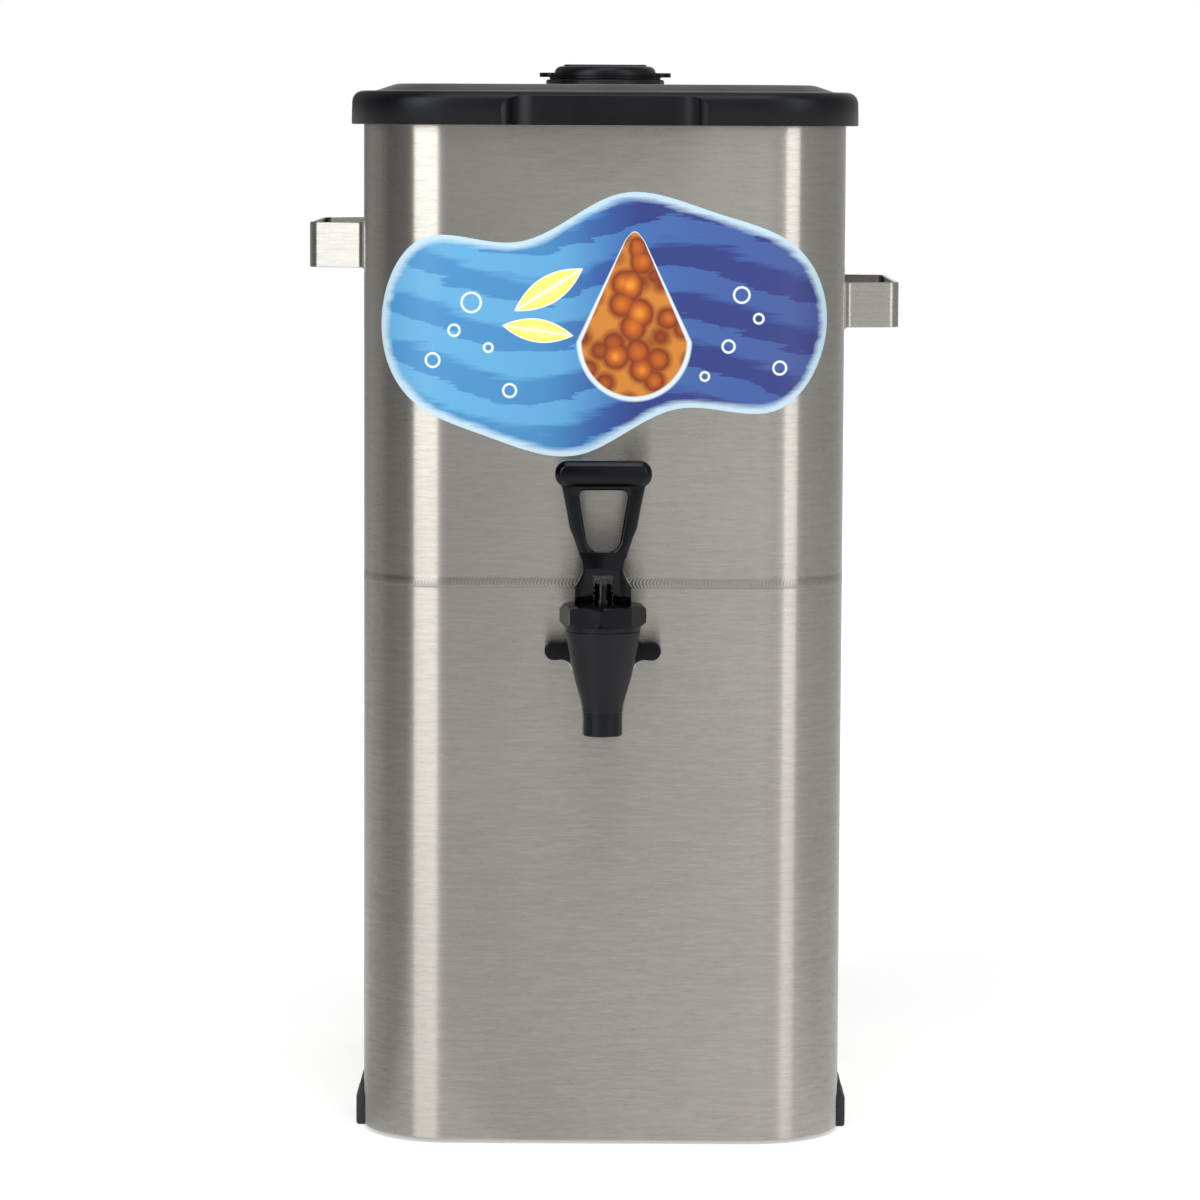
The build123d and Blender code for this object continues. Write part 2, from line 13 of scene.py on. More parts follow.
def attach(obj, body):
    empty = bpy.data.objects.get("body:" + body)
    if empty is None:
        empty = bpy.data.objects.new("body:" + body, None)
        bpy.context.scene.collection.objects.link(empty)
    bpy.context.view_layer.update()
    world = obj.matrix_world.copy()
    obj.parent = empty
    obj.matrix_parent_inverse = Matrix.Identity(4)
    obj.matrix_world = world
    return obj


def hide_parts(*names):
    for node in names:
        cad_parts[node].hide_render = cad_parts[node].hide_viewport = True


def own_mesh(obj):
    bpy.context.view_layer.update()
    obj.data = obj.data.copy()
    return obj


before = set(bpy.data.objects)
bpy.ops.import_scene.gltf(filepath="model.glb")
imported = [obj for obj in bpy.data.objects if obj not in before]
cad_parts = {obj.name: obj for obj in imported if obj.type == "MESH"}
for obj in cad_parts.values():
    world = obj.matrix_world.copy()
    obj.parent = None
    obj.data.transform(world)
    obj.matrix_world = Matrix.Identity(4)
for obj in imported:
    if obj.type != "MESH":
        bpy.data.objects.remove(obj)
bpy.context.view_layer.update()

MM = 0.001
TANK_Y = 24.0
HALF_W, HALF_D, CORNER = 114.0, 146.0, 44.0
FRONT_Y = TANK_Y - HALF_D
TAP_Y = -160.0
SHANK_Z = 236.5
PIN_Z = 267.0
SEAM_Z = 267.0
SKIRT_LOW = 480.4
BONNET_LOW, BONNET_TOP = 251.0, 260.8
STEM_BORE = 4.15
NUT_BORE = 12.3
LIFT_RATE = 4.8
CORNER_STEPS = 20


# Mesh helpers
def new_object(name, verts, faces, uvs=None, sharp=38.0):
    """Mesh object from millimetre points, outward normals, smooth with sharp edges past an angle."""
    mesh = bpy.data.meshes.new(name)
    mesh.from_pydata([Vector(v) * MM for v in verts], [], faces)
    if uvs is not None:
        layer = mesh.uv_layers.new(name="UVMap")
        for loop in mesh.loops:
            layer.data[loop.index].uv = uvs[loop.vertex_index]
    bm = bmesh.new()
    bm.from_mesh(mesh)
    bmesh.ops.recalc_face_normals(bm, faces=bm.faces)
    bm.to_mesh(mesh)
    bm.free()
    mesh.shade_smooth()
    mesh.set_sharp_from_angle(angle=math.radians(sharp))
    obj = bpy.data.objects.new(name, mesh)
    bpy.context.scene.collection.objects.link(obj)
    return obj


def bake(obj, sharp=38.0):
    """Applies an object's modifiers to its mesh."""
    graph = bpy.context.evaluated_depsgraph_get()
    mesh = bpy.data.meshes.new_from_object(obj.evaluated_get(graph))
    obj.modifiers.clear()
    obj.data = mesh
    mesh.shade_smooth()
    mesh.set_sharp_from_angle(angle=math.radians(sharp))
    return obj


def cut(obj, tool, operation="DIFFERENCE", sharp=38.0):
    """Exact boolean with another object, which is then removed."""
    mod = obj.modifiers.new("cut", "BOOLEAN")
    mod.operation = operation
    mod.solver = "EXACT"
    mod.object = tool
    bake(obj, sharp)
    bpy.data.objects.remove(tool)
    return obj


def soften(obj, width, segments=3, angle=28.0, sharp=38.0):
    """Rounds the edges that are sharper than an angle."""
    mod = obj.modifiers.new("soften", "BEVEL")
    mod.width = width * MM
    mod.segments = segments
    mod.limit_method = "ANGLE"
    mod.angle_limit = math.radians(angle)
    mod.use_clamp_overlap = True
    mod.harden_normals = False
    return bake(obj, sharp)


def round_edges(obj, pick, width, segments, sharp=50.0):
    """Rounds the edges that a test picks by their two ends, in millimetres."""
    bm = bmesh.new()
    bm.from_mesh(obj.data)
    edges = [e for e in bm.edges if pick(e.verts[0].co / MM, e.verts[1].co / MM)]
    bmesh.ops.bevel(bm, geom=edges, offset=width * MM, segments=segments, profile=0.5, affect="EDGES",
                    clamp_overlap=True)
    bm.to_mesh(obj.data)
    bm.free()
    obj.data.shade_smooth()
    obj.data.set_sharp_from_angle(angle=math.radians(sharp))


def loft(name, rings, close=False, uvs=None, sharp=38.0):
    """Skin over rings of equally many points: close joins the last to the first, or else both are capped."""
    count = len(rings[0])
    verts = [p for ring in rings for p in ring]
    faces = []
    spans = len(rings) if close else len(rings) - 1
    for i in range(spans):
        a, b = i * count, ((i + 1) % len(rings)) * count
        for j in range(count):
            k = (j + 1) % count
            faces.append((a + j, a + k, b + k, b + j))
    if not close:
        faces.append(tuple(range(count)))
        faces.append(tuple(range((len(rings) - 1) * count, len(rings) * count)))
    return new_object(name, verts, faces, uvs, sharp)


def lathe(name, profile, middle_y=TAP_Y, steps=96, sharp=38.0):
    """Profile of (radius, z) points turned about a vertical axis in the middle plane."""
    rings = []
    for radius, z in profile:
        rings.append([
            (
                radius * math.cos(2 * math.pi * j / steps),
                middle_y + radius * math.sin(2 * math.pi * j / steps),
                z,
            )
            for j in range(steps)
        ])
    return loft(name, rings, close=True, sharp=sharp)


def lathe_y(name, profile, steps=96, sharp=38.0):
    """Profile of (radius, y) points turned about the shank's axis."""
    rings = []
    for radius, y in profile:
        rings.append([
            (
                radius * math.cos(2 * math.pi * j / steps),
                y,
                SHANK_Z + radius * math.sin(2 * math.pi * j / steps),
            )
            for j in range(steps)
        ])
    return loft(name, rings, close=True, sharp=sharp)


def prism(name, outline, axis, low, high, sharp=38.0):
    """Outline extruded along an axis: Z outlines hold (x, y), Y outlines (x, z), X outlines (y, z)."""
    place = {
        "Z": lambda a, b, c: (a, b, c),
        "Y": lambda a, b, c: (a, c, b),
        "X": lambda a, b, c: (c, a, b),
    }[axis]
    rings = [[place(a, b, c) for a, b in outline] for c in (low, high)]
    return loft(name, rings, sharp=sharp)


def arc(cx, cy, radius, start, end, steps):
    """Points on an arc, angles in degrees, both ends included."""
    return [
        (
            cx + radius * math.cos(math.radians(start + (end - start) * i / steps)),
            cy + radius * math.sin(math.radians(start + (end - start) * i / steps)),
        )
        for i in range(steps + 1)
    ]


def through(a, b, c, steps=8):
    """Points on the circle through three points, from the first to the last."""
    ax, ay, bx, by, cx, cy = *a, *b, *c
    d = 2 * (ax * (by - cy) + bx * (cy - ay) + cx * (ay - by))
    a2, b2, c2 = ax * ax + ay * ay, bx * bx + by * by, cx * cx + cy * cy
    ux = (a2 * (by - cy) + b2 * (cy - ay) + c2 * (ay - by)) / d
    uy = (a2 * (cx - bx) + b2 * (ax - cx) + c2 * (bx - ax)) / d
    radius = math.hypot(ax - ux, ay - uy)
    start = math.atan2(ay - uy, ax - ux)
    middle = (math.atan2(by - uy, bx - ux) - start) % (2 * math.pi)
    sweep = (math.atan2(cy - uy, cx - ux) - start) % (2 * math.pi)
    if middle > sweep:
        sweep -= 2 * math.pi
    return [
        (ux + radius * math.cos(start + sweep * i / steps), uy + radius * math.sin(start + sweep * i / steps))
        for i in range(steps + 1)
    ]


def tank_ring(offset, z, flat_steps=4):
    """Closed ring round the tank at an offset from its wall, from the right end of the rear's flat."""
    across, along = HALF_W - CORNER, HALF_D - CORNER
    corners = [
        arc(cx, cy, CORNER + offset, start, start - 90.0, CORNER_STEPS)
        for cx, cy, start in (
            (across, along, 90.0), (across, -along, 0.0), (-across, -along, -90.0), (-across, along, 180.0),
        )
    ]
    points = []
    for corner, following in zip(corners, corners[1:] + corners[:1]):
        points += corner
        nx, ny = corner[-1]
        fx, fy = following[0]
        for i in range(1, flat_steps):
            points.append((nx + (fx - nx) * i / flat_steps, ny + (fy - ny) * i / flat_steps))
    return [(x, TANK_Y + y, z) for x, y in points]


def round_ring(like, radius, z):
    """Circle about the tank's middle whose points lie in the same directions as those of a ring."""
    ring = []
    for x, y, _ in like:
        far = math.hypot(x, y - TANK_Y)
        ring.append((x * radius / far, TANK_Y + (y - TANK_Y) * radius / far, z))
    return ring


# Material helpers
class Net:
    """Node tree being built, with short calls for the nodes that it uses most."""

    def __init__(self, tree):
        self.nodes = tree.nodes
        self.link = tree.links.new

    def add(self, a, b):
        return self.math("ADD", a, b)

    def sub(self, a, b):
        return self.math("SUBTRACT", a, b)

    def mul(self, a, b):
        return self.math("MULTIPLY", a, b)

    def math(self, operation, a, b=None):
        """Math node on values or numbers."""
        node = self.nodes.new("ShaderNodeMath")
        node.operation = operation
        for socket, value in zip(node.inputs, (a, b)):
            if value is None:
                continue
            if isinstance(value, (int, float)):
                socket.default_value = value
            else:
                self.link(value, socket)
        return node.outputs["Value"]

    def noise(self, scale, detail=3.0, rough=0.6):
        """Noise over object coordinates, in cycles a metre along each axis."""
        coord = self.nodes.new("ShaderNodeTexCoord")
        mapping = self.nodes.new("ShaderNodeMapping")
        mapping.inputs["Scale"].default_value = scale
        noise = self.nodes.new("ShaderNodeTexNoise")
        noise.inputs["Scale"].default_value = 1.0
        noise.inputs["Detail"].default_value = detail
        noise.inputs["Roughness"].default_value = rough
        self.link(coord.outputs["Object"], mapping.inputs["Vector"])
        self.link(mapping.outputs["Vector"], noise.inputs["Vector"])
        return noise.outputs["Fac"]

    def remap(self, value, low, high, start=0.3, end=0.7):
        """Value mapped from start..end to low..high."""
        node = self.nodes.new("ShaderNodeMapRange")
        node.inputs["From Min"].default_value = start
        node.inputs["From Max"].default_value = end
        node.inputs["To Min"].default_value = low
        node.inputs["To Max"].default_value = high
        self.link(value, node.inputs["Value"])
        return node.outputs["Result"]

    def ramp(self, value, stops):
        """Colour ramp over a value, from (position, colour) stops."""
        node = self.nodes.new("ShaderNodeValToRGB")
        elements = node.color_ramp.elements
        while len(elements) < len(stops):
            elements.new(0.5)
        for element, (position, colour) in zip(elements, stops):
            element.position = position
            element.color = (*colour, 1.0)
        self.link(value, node.inputs["Fac"])
        return node.outputs["Color"]

    def blend(self, amount, first, second):
        """Mix of two colours, each a socket or a plain triple."""
        node = self.nodes.new("ShaderNodeMix")
        node.data_type = "RGBA"
        self.link(amount, node.inputs["Factor"])
        for socket, value in ((node.inputs["A"], first), (node.inputs["B"], second)):
            if isinstance(value, tuple):
                socket.default_value = (*value, 1.0)
            else:
                self.link(value, socket)
        return node.outputs["Result"]

    def bump(self, shader, height, distance, strength, before=None):
        """Bump from a height in metres into the shader's normal."""
        node = self.nodes.new("ShaderNodeBump")
        node.inputs["Strength"].default_value = strength
        node.inputs["Distance"].default_value = distance
        self.link(height, node.inputs["Height"])
        if before is not None:
            self.link(before, node.inputs["Normal"])
        self.link(node.outputs["Normal"], shader.inputs["Normal"])
        return node.outputs["Normal"]

    def axes(self, vector):
        """Outputs X, Y and Z of a vector."""
        node = self.nodes.new("ShaderNodeSeparateXYZ")
        self.link(vector, node.inputs["Vector"])
        return node.outputs

    def front_mm(self):
        """Object coordinates across and up, in millimetres."""
        axes = self.axes(self.nodes.new("ShaderNodeTexCoord").outputs["Object"])
        return self.mul(axes["X"], 1000.0), self.mul(axes["Z"], 1000.0)

    def by_azimuth(self, axes, stops):
        """Brightness by direction in degrees: 0 is the camera's side, positive is to its right."""
        azimuth = self.math("ARCTAN2", axes["X"], self.mul(axes["Y"], -1.0))
        share = self.remap(azimuth, 0.0, 1.0, -math.pi, math.pi)
        return self.ramp(share, [((a + 180) / 360, (v, v, v)) for a, v in stops])


def material(name):
    """Empty node material with its principled shader: (material, net, shader)."""
    mat = bpy.data.materials.new(name)
    mat.use_nodes = True
    return mat, Net(mat.node_tree), mat.node_tree.nodes["Principled BSDF"]


def steel(name, colour, along=60.0, across=1700.0, axis="Z", rough=(0.235, 0.285), mapped=False, weld=False,
          aniso=1.0):
    """Brushed stainless: fine lines at right angles to an axis, long streaks and faint cloudiness."""
    mat, net, shader = material(name)
    scale = {"Z": (along, along, across), "X": (across, along, along), "Y": (along, across, along)}[axis]
    fine = net.noise([s * (1.0 if s == across else 3.0) for s in scale])
    streak = net.noise([s * (0.4 if s == across else 1.0) for s in scale])
    cloud = net.noise((7.0, 7.0, 11.0), detail=2.0)
    grain = net.add(net.mul(fine, 0.55), net.mul(streak, 0.45))
    shade = net.add(net.mul(grain, 0.75), net.mul(cloud, 0.25))
    dark = [c * 0.94 for c in colour]
    light = [min(1.0, c * 1.06) for c in colour]
    tone = net.ramp(shade, [(0.43, dark), (0.57, light)])
    net.link(tone, shader.inputs["Base Color"])
    net.link(net.remap(grain, rough[1], rough[0]), shader.inputs["Roughness"])
    shader.inputs["Metallic"].default_value = 1.0
    shader.inputs["Anisotropic"].default_value = aniso
    tangent = net.nodes.new("ShaderNodeTangent")
    if mapped:
        tangent.direction_type = "UV_MAP"
        tangent.uv_map = "UVMap"
    else:
        tangent.direction_type = "RADIAL"
        tangent.axis = axis
    net.link(tangent.outputs["Tangent"], shader.inputs["Tangent"])
    shader.inputs["Anisotropic Rotation"].default_value = 0.25
    normal = net.bump(shader, grain, 0.01 * MM, 0.07)
    if weld:
        weld_seam(net, shader, tone, normal)
    return mat


def weld_seam(net, shader, tone, normal):
    """Weld round the body: a darker band of bowed ripples, strongest by the tap, over a sharp lower line. The
    ripples are bumped and also painted into the colour as lighter and darker arcs: painted highlight and
    shade.
    """
    uv = net.nodes.new("ShaderNodeUVMap")
    uv.uv_map = "UVMap"
    axes = net.axes(uv.outputs["UV"])
    run, height = axes["X"], axes["Y"]
    pitch, depth, line_below = 1.7 * MM, 0.04 * MM, 2.35
    up = net.mul(net.sub(height, SEAM_Z * MM), 1000.0)
    bow = net.mul(net.mul(up, up), 0.26 * MM)
    wave = net.math("SINE", net.mul(net.add(run, bow), 2 * math.pi / pitch))
    x, _ = net.front_mm()
    near = net.remap(net.math("ABSOLUTE", x), 1.0, 0.32, 12.0, 44.0)
    patchy = net.remap(net.noise((38.0, 38.0, 5.0), detail=2.0), 0.35, 1.0)
    inside = net.remap(net.math("ABSOLUTE", up), 1.0, 0.0, 1.7, 2.5)
    ripple = net.mul(net.mul(wave, inside), net.mul(patchy, near))
    net.bump(shader, ripple, depth, 0.5, before=normal)
    under = net.math("ABSOLUTE", net.add(up, line_below))
    line = net.remap(under, 1.0, 0.0, 0.1, 0.42)
    shade = net.sub(1.0, net.mul(inside, 0.17))
    shade = net.sub(shade, net.mul(line, 0.28))
    # The ripples go into the colour too, lighter and darker: painted highlight and painted shade on the
    # ripples.
    shade = net.add(shade, net.mul(ripple, 0.42))
    mixed = net.nodes.new("ShaderNodeVectorMath")
    mixed.operation = "SCALE"
    net.link(tone, mixed.inputs[0])
    net.link(shade, mixed.inputs["Scale"])
    net.link(mixed.outputs["Vector"], shader.inputs["Base Color"])


def plastic(name, colour, rough, texture=0.0, texture_scale=2500.0, specular=0.5, drift=0.04):
    """Moulded plastic: fine texture bump, slight unevenness of gloss and colour."""
    mat, net, shader = material(name)
    blotch = net.noise((45.0, 45.0, 45.0))
    pale = [c * 1.3 + 0.001 for c in colour]
    net.link(net.ramp(blotch, [(0.35, colour), (0.7, pale)]), shader.inputs["Base Color"])
    net.link(net.remap(blotch, rough - drift, rough + drift), shader.inputs["Roughness"])
    shader.inputs["Specular IOR Level"].default_value = specular
    # Reflections are tinted a little blue: a painted tint of the sheen that stands in for bluish light.
    shader.inputs["Specular Tint"].default_value = (0.90, 0.93, 1.0, 1.0)
    if texture > 0:
        grit = net.noise((texture_scale,) * 3, detail=2.0)
        net.bump(shader, grit, texture * MM, 0.5)
    return mat


def silicone(name):
    """Milky silicone rubber."""
    mat, net, shader = material(name)
    blotch = net.noise((120.0, 120.0, 120.0))
    tone = net.ramp(blotch, [(0.3, (0.62, 0.62, 0.58)), (0.7, (0.78, 0.78, 0.74))])
    net.link(tone, shader.inputs["Base Color"])
    shader.inputs["Roughness"].default_value = 0.42
    shader.inputs["Subsurface Weight"].default_value = 0.3
    shader.inputs["Subsurface Radius"].default_value = (0.004, 0.004, 0.003)
    return mat


def printed_film():
    """Generic print: blue wave bands under an amber drop with pale leaves and bubbles."""
    mat, net, shader = material("printed_film")
    x, z = net.front_mm()
    edge = net.nodes.new("ShaderNodeAttribute")
    edge.attribute_name = "edge"
    rim = net.mul(edge.outputs["Fac"], 1000.0)

    # Brushed blue bands, paler on the left and deep violet blue on the right
    half_width, band_height, sway_height = 104.0, 23.0, 9.0
    sway = net.mul(net.math("SINE", net.mul(x, 0.045)), sway_height)
    rough_edge = net.noise((26.0, 26.0, 260.0), detail=4.0, rough=0.65)
    level = net.add(net.sub(z, sway), net.mul(rough_edge, 16.0))
    band = net.math("FRACT", net.mul(level, 1.0 / band_height))
    side = net.remap(net.add(x, net.mul(sway, 1.5)), 0.0, 1.0, -half_width, half_width)
    deep = net.ramp(side, [
        (0.0, (0.065, 0.27, 0.53)), (0.30, (0.055, 0.22, 0.46)), (0.48, (0.030, 0.095, 0.31)),
        (0.62, (0.024, 0.044, 0.20)), (1.0, (0.034, 0.042, 0.19)),
    ])
    light = net.ramp(side, [
        (0.0, (0.13, 0.39, 0.64)), (0.35, (0.10, 0.33, 0.58)), (0.55, (0.050, 0.15, 0.40)),
        (1.0, (0.050, 0.068, 0.25)),
    ])
    stripe = net.remap(band, 0.0, 1.0, 0.42, 0.58)
    blue = net.blend(stripe, deep, light)
    pale = (0.48, 0.64, 0.74)
    wobble = net.mul(rough_edge, 5.0)
    glow = net.remap(net.add(rim, wobble), 1.0, 0.0, 4.2, 7.2)
    colour = net.blend(glow, blue, pale)

    # Amber drop a little right of the middle: round below its widest place, tapered to the tip above
    drop_x, drop_z, drop_half, drop_below, tip_half, tip_z = 14.0, 380.0, 25.0, 26.0, 3.0, 50.0
    tip_round = 5.0
    dx = net.sub(x, drop_x)
    dz = net.sub(z, drop_z)
    taper = net.remap(dz, drop_half, tip_half, 0.0, tip_z)
    low = net.math("MINIMUM", dz, 0.0)
    wide = net.math("DIVIDE", dx, taper)
    down = net.mul(low, 1.0 / drop_below)
    above = net.math("MAXIMUM", net.sub(dz, tip_z - 4.0), 0.0)
    high = net.mul(above, 1.0 / tip_round)
    square = net.add(net.mul(wide, wide), net.mul(down, down))
    radius = net.math("SQRT", net.add(square, net.mul(high, high)))
    facets = net.nodes.new("ShaderNodeTexVoronoi")
    facets.inputs["Scale"].default_value = 95.0
    facets.inputs["Randomness"].default_value = 0.9
    coord = net.nodes.new("ShaderNodeTexCoord")
    net.link(coord.outputs["Object"], facets.inputs["Vector"])
    mottled = net.add(net.mul(facets.outputs["Distance"], 0.9), net.mul(radius, 0.28))
    amber = net.ramp(mottled, [
        (0.12, (0.78, 0.30, 0.03)), (0.34, (0.50, 0.12, 0.012)), (0.60, (0.20, 0.03, 0.006)),
        (0.85, (0.55, 0.20, 0.03)),
    ])
    in_drop = net.remap(radius, 1.0, 0.0, 0.97, 1.0)
    in_ring = net.remap(radius, 1.0, 0.0, 1.05, 1.09)
    colour = net.blend(in_ring, colour, (0.62, 0.72, 0.78))
    colour = net.blend(in_drop, colour, amber)

    # Two pale yellow leaves on the left of the drop
    cream = (0.97, 0.95, 0.72)
    for cx, cz, turn, long, slim in ((-26.0, 404.0, 32.0, 19.0, 6.5), (-31.0, 385.0, -8.0, 17.0, 5.6)):
        c, s = math.cos(math.radians(turn)), math.sin(math.radians(turn))
        px = net.sub(x, cx)
        pz = net.sub(z, cz)
        along = net.add(net.mul(px, c / long), net.mul(pz, s / long))
        across = net.math("ABSOLUTE", net.sub(net.mul(pz, c / slim), net.mul(px, s / slim)))
        leaf = net.add(across, net.mul(along, along))
        vein = net.remap(across, 1.0, 0.0, 0.05, 0.12)
        tone = net.ramp(leaf, [
            (0.0, (0.93, 0.86, 0.30)), (0.8, (0.90, 0.74, 0.12)), (0.95, cream),
        ])
        tone = net.blend(vein, tone, cream)
        colour = net.blend(net.remap(leaf, 1.0, 0.0, 0.96, 1.0), colour, tone)

    # Small pale bubbles
    for cx, cz, size in ((-62, 398, 4.5), (-70, 385, 2.6), (-54, 377, 2.0), (64, 402, 3.6), (72, 391, 2.2),
                         (58, 378, 2.8), (47, 364, 2.0), (-44, 357, 3.0), (-80, 371, 3.2), (82, 368, 3.0)):
        px = net.sub(x, float(cx))
        pz = net.sub(z, float(cz))
        far = net.math("SQRT", net.add(net.mul(px, px), net.mul(pz, pz)))
        ring = net.math("ABSOLUTE", net.sub(far, float(size)))
        line = net.remap(ring, 0.9, 0.0, 0.25, 0.75)
        colour = net.blend(line, colour, (0.85, 0.94, 0.98))
    net.link(colour, shader.inputs["Base Color"])
    shader.inputs["Roughness"].default_value = 0.42
    shader.inputs["Specular IOR Level"].default_value = 0.3
    return mat


# Materials
body_steel = steel("brushed_stainless", (0.340, 0.327, 0.300), mapped=True, weld=True)
pan_steel = steel("pan_stainless", (0.340, 0.327, 0.300))
strap_steel = steel("strap_stainless", (0.335, 0.326, 0.303), along=30.0, rough=(0.24, 0.32), mapped=True)
turned_steel = steel("machined_stainless", (0.40, 0.395, 0.375), along=200.0, across=4000.0, axis="Y",
                     aniso=0.5)
spring_steel = steel("spring_steel", (0.36, 0.36, 0.35), along=300.0, across=4000.0, aniso=0.4)
# The pin's steel is made nearly black: painted shade, as the pin's ends show only in the dark slot, and this
# keeps their glints small.
pin_steel_painted_shade = steel("pin_painted_shade_steel", (0.035, 0.035, 0.036), along=300.0, across=4000.0, aniso=0.4)
lid_black = plastic("satin_black_plastic", (0.0028, 0.0028, 0.0036), 0.36, texture=0.02, specular=0.21)
gloss_black = plastic("gloss_black_plastic", (0.0010, 0.0010, 0.0012), 0.17, texture=0.006,
                      texture_scale=900.0, specular=0.22)
soft_black = plastic("soft_black_plastic", (0.0010, 0.0010, 0.0012), 0.30, texture=0.006,
                     texture_scale=900.0, specular=0.16)
dark_grey = plastic("dark_grey_plastic", (0.0050, 0.0050, 0.0053), 0.38, texture=0.02, specular=0.22)
rubber = plastic("black_rubber", (0.016, 0.016, 0.016), 0.62, texture=0.04)
milky = silicone("clear_silicone")
film_print = printed_film()


def finish_piece(obj, mat, slot, body, *nodes):
    """Gives a piece its material and body, and hides the CAD nodes that it stands for. The slot is not used.
    """
    obj.data.materials.clear()
    obj.data.materials.append(mat)
    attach(obj, body)
    if nodes:
        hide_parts(*nodes)


def dress(node, mat):
    """A CAD node stays and gets a material."""
    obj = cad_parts[node]
    for slot in obj.material_slots:
        slot.material = mat
    if not obj.material_slots:
        obj.data.materials.append(mat)


# Body
def run_of(ring):
    """Distance along a ring, in metres, at each of its points."""
    total, out = 0.0, []
    for i, point in enumerate(ring):
        if i:
            total += (Vector(point) - Vector(ring[i - 1])).length * MM
        out.append(total)
    return out


sheet, base_z, bead_z, rim_z = 1.0, 2.0, 489.3, 493.5
seam_bead = [
    (0.0, -3.0), (0.0, -2.4), (0.08, -2.1), (0.14, -1.4), (0.16, -0.4), (0.12, 0.8), (0.05, 1.9), (0.0, 2.6),
    (0.0, 3.4),
]
rolled_rim = [(0.3, 0.2), (1.6, 0.3), (1.95, 1.1), (1.95, 3.1), (1.5, 4.0)]
body_profile = [(-sheet, base_z), (-0.25, base_z), (0.0, base_z + 0.25), (0.0, base_z + 0.8)]
body_profile += [(out, SEAM_Z + up) for out, up in seam_bead]
body_profile += [(0.0, bead_z - 0.6), (0.0, bead_z)] + [(out, bead_z + up) for out, up in rolled_rim]
body_profile += [(0.8, rim_z), (-0.6, rim_z), (-sheet, rim_z - 0.4)]
body_rings = [tank_ring(offset, z) for offset, z in body_profile]
base_run = run_of(body_rings[3])
body_uvs = [(base_run[j], z * MM) for _, z in body_profile for j in range(len(base_run))]
body_skin = loft("body_skin", body_rings, close=True, uvs=body_uvs, sharp=50.0)
tap_hole, past_wall = 12.3, 5
hole = arc(0.0, SHANK_Z, tap_hole, 0, 360, 64)[:-1]
cut(body_skin, prism("hole_tool", hole, "Y", FRONT_Y - past_wall, FRONT_Y + past_wall), sharp=50.0)
finish_piece(body_skin, body_steel, "brushed_stainless", "dispenser", "body_shell")
dress("tank_pan", pan_steel)


# Side handles
def strap_path(side):
    """Centre line of a side handle in plan, with rounded bends: (x, y, direction) points."""
    thick, reach, leg, splay, flange, bend = 1.8, 28.5, 57.5, 6.5, 18.0, 5.0
    flat = HALF_W + thick / 2
    out = HALF_W + reach - thick / 2
    base = leg + splay
    points = [(flat, -base - flange)]
    stops = [points[0], (flat, -base), (out, -leg), (out, leg), (flat, base), (flat, base + flange)]
    for i in range(1, 5):
        before, here, after = Vector(stops[i - 1]), Vector(stops[i]), Vector(stops[i + 1])
        to_before, to_after = (before - here).normalized(), (after - here).normalized()
        half = to_before.angle(to_after) / 2
        centre = here + (to_before + to_after).normalized() * (bend / math.sin(half))
        start = here + to_before * (bend / math.tan(half))
        end = here + to_after * (bend / math.tan(half))
        points.append(tuple(start + to_before * 0.6))
        a0 = math.atan2(start.y - centre.y, start.x - centre.x)
        a1 = math.atan2(end.y - centre.y, end.x - centre.x)
        sweep = (a1 - a0 + math.pi) % (2 * math.pi) - math.pi
        points += arc(centre.x, centre.y, bend, math.degrees(a0), math.degrees(a0 + sweep), 10)
        points.append(tuple(end + to_after * 0.6))
    points.append(stops[-1])
    return [(side * x, y) for x, y in points]


def strap(name, side, low):
    """Strap handle with slightly eased edges."""
    height, half, ease = 21.7, 0.9, 0.25
    path = strap_path(side)
    section = [
        (-half, ease), (-half + ease, 0.0), (half - ease, 0.0), (half, ease),
        (half, height - ease), (half - ease, height), (-half + ease, height), (-half, height - ease),
    ]
    rings, uvs, travelled = [], [], 0.0
    for i, (x, y) in enumerate(path):
        ahead = Vector(path[min(i + 1, len(path) - 1)])
        behind = Vector(path[max(i - 1, 0)])
        run = (ahead - behind).normalized()
        across = Vector((run.y, -run.x))
        rings.append([(x + across.x * a, TANK_Y + y + across.y * a, low + b) for a, b in section])
        travelled += (Vector((x, y)) - behind).length * MM
        uvs += [(travelled, (b + a) * MM) for a, b in section]
    return loft(name, rings, uvs=uvs, sharp=30.0)


for strap_name, strap_side, strap_low, strap_node in (
    ("strap_left", -1, 411.5, "left_handle"),
    ("strap_right", 1, 383.7, "right_handle"),
):
    side_handle = strap(strap_name, strap_side, strap_low)
    finish_piece(side_handle, strap_steel, "strap_stainless", "dispenser", strap_node)


# Feet
def foot(name, side, end):
    """Rubber foot clipped over the wall: profile swept along the flat side, edges eased."""
    wall, far, half_length = HALF_W, 86.0, 15.0
    outline = [
        (wall - 4.0, 0.4), (wall - 3.6, 0.0), (wall + 2.6, 0.0), (wall + 3.5, 0.5), (wall + 3.8, 1.5),
        (wall + 3.8, 13.9), (wall + 1.9, 17.6), (wall + 1.9, 20.8), (wall, 20.8), (wall, 2.0),
        (wall - 1.0, 2.0), (wall - 1.0, 16.8), (wall - 4.0, 16.8),
    ]
    shape = [(side * x, z) for x, z in outline]
    middle = TANK_Y + end * far
    block = prism(name, shape, "Y", middle - half_length, middle + half_length, sharp=30.0)
    return soften(block, 0.35, segments=2, sharp=30.0)


for foot_side, side_word in ((-1, "left"), (1, "right")):
    for foot_end, end_word in ((-1, "front"), (1, "rear")):
        word = f"{end_word}_{side_word}"
        piece = foot(f"rubber_{word}", foot_side, foot_end)
        finish_piece(piece, rubber, "black_rubber", "dispenser", f"foot_{word}")


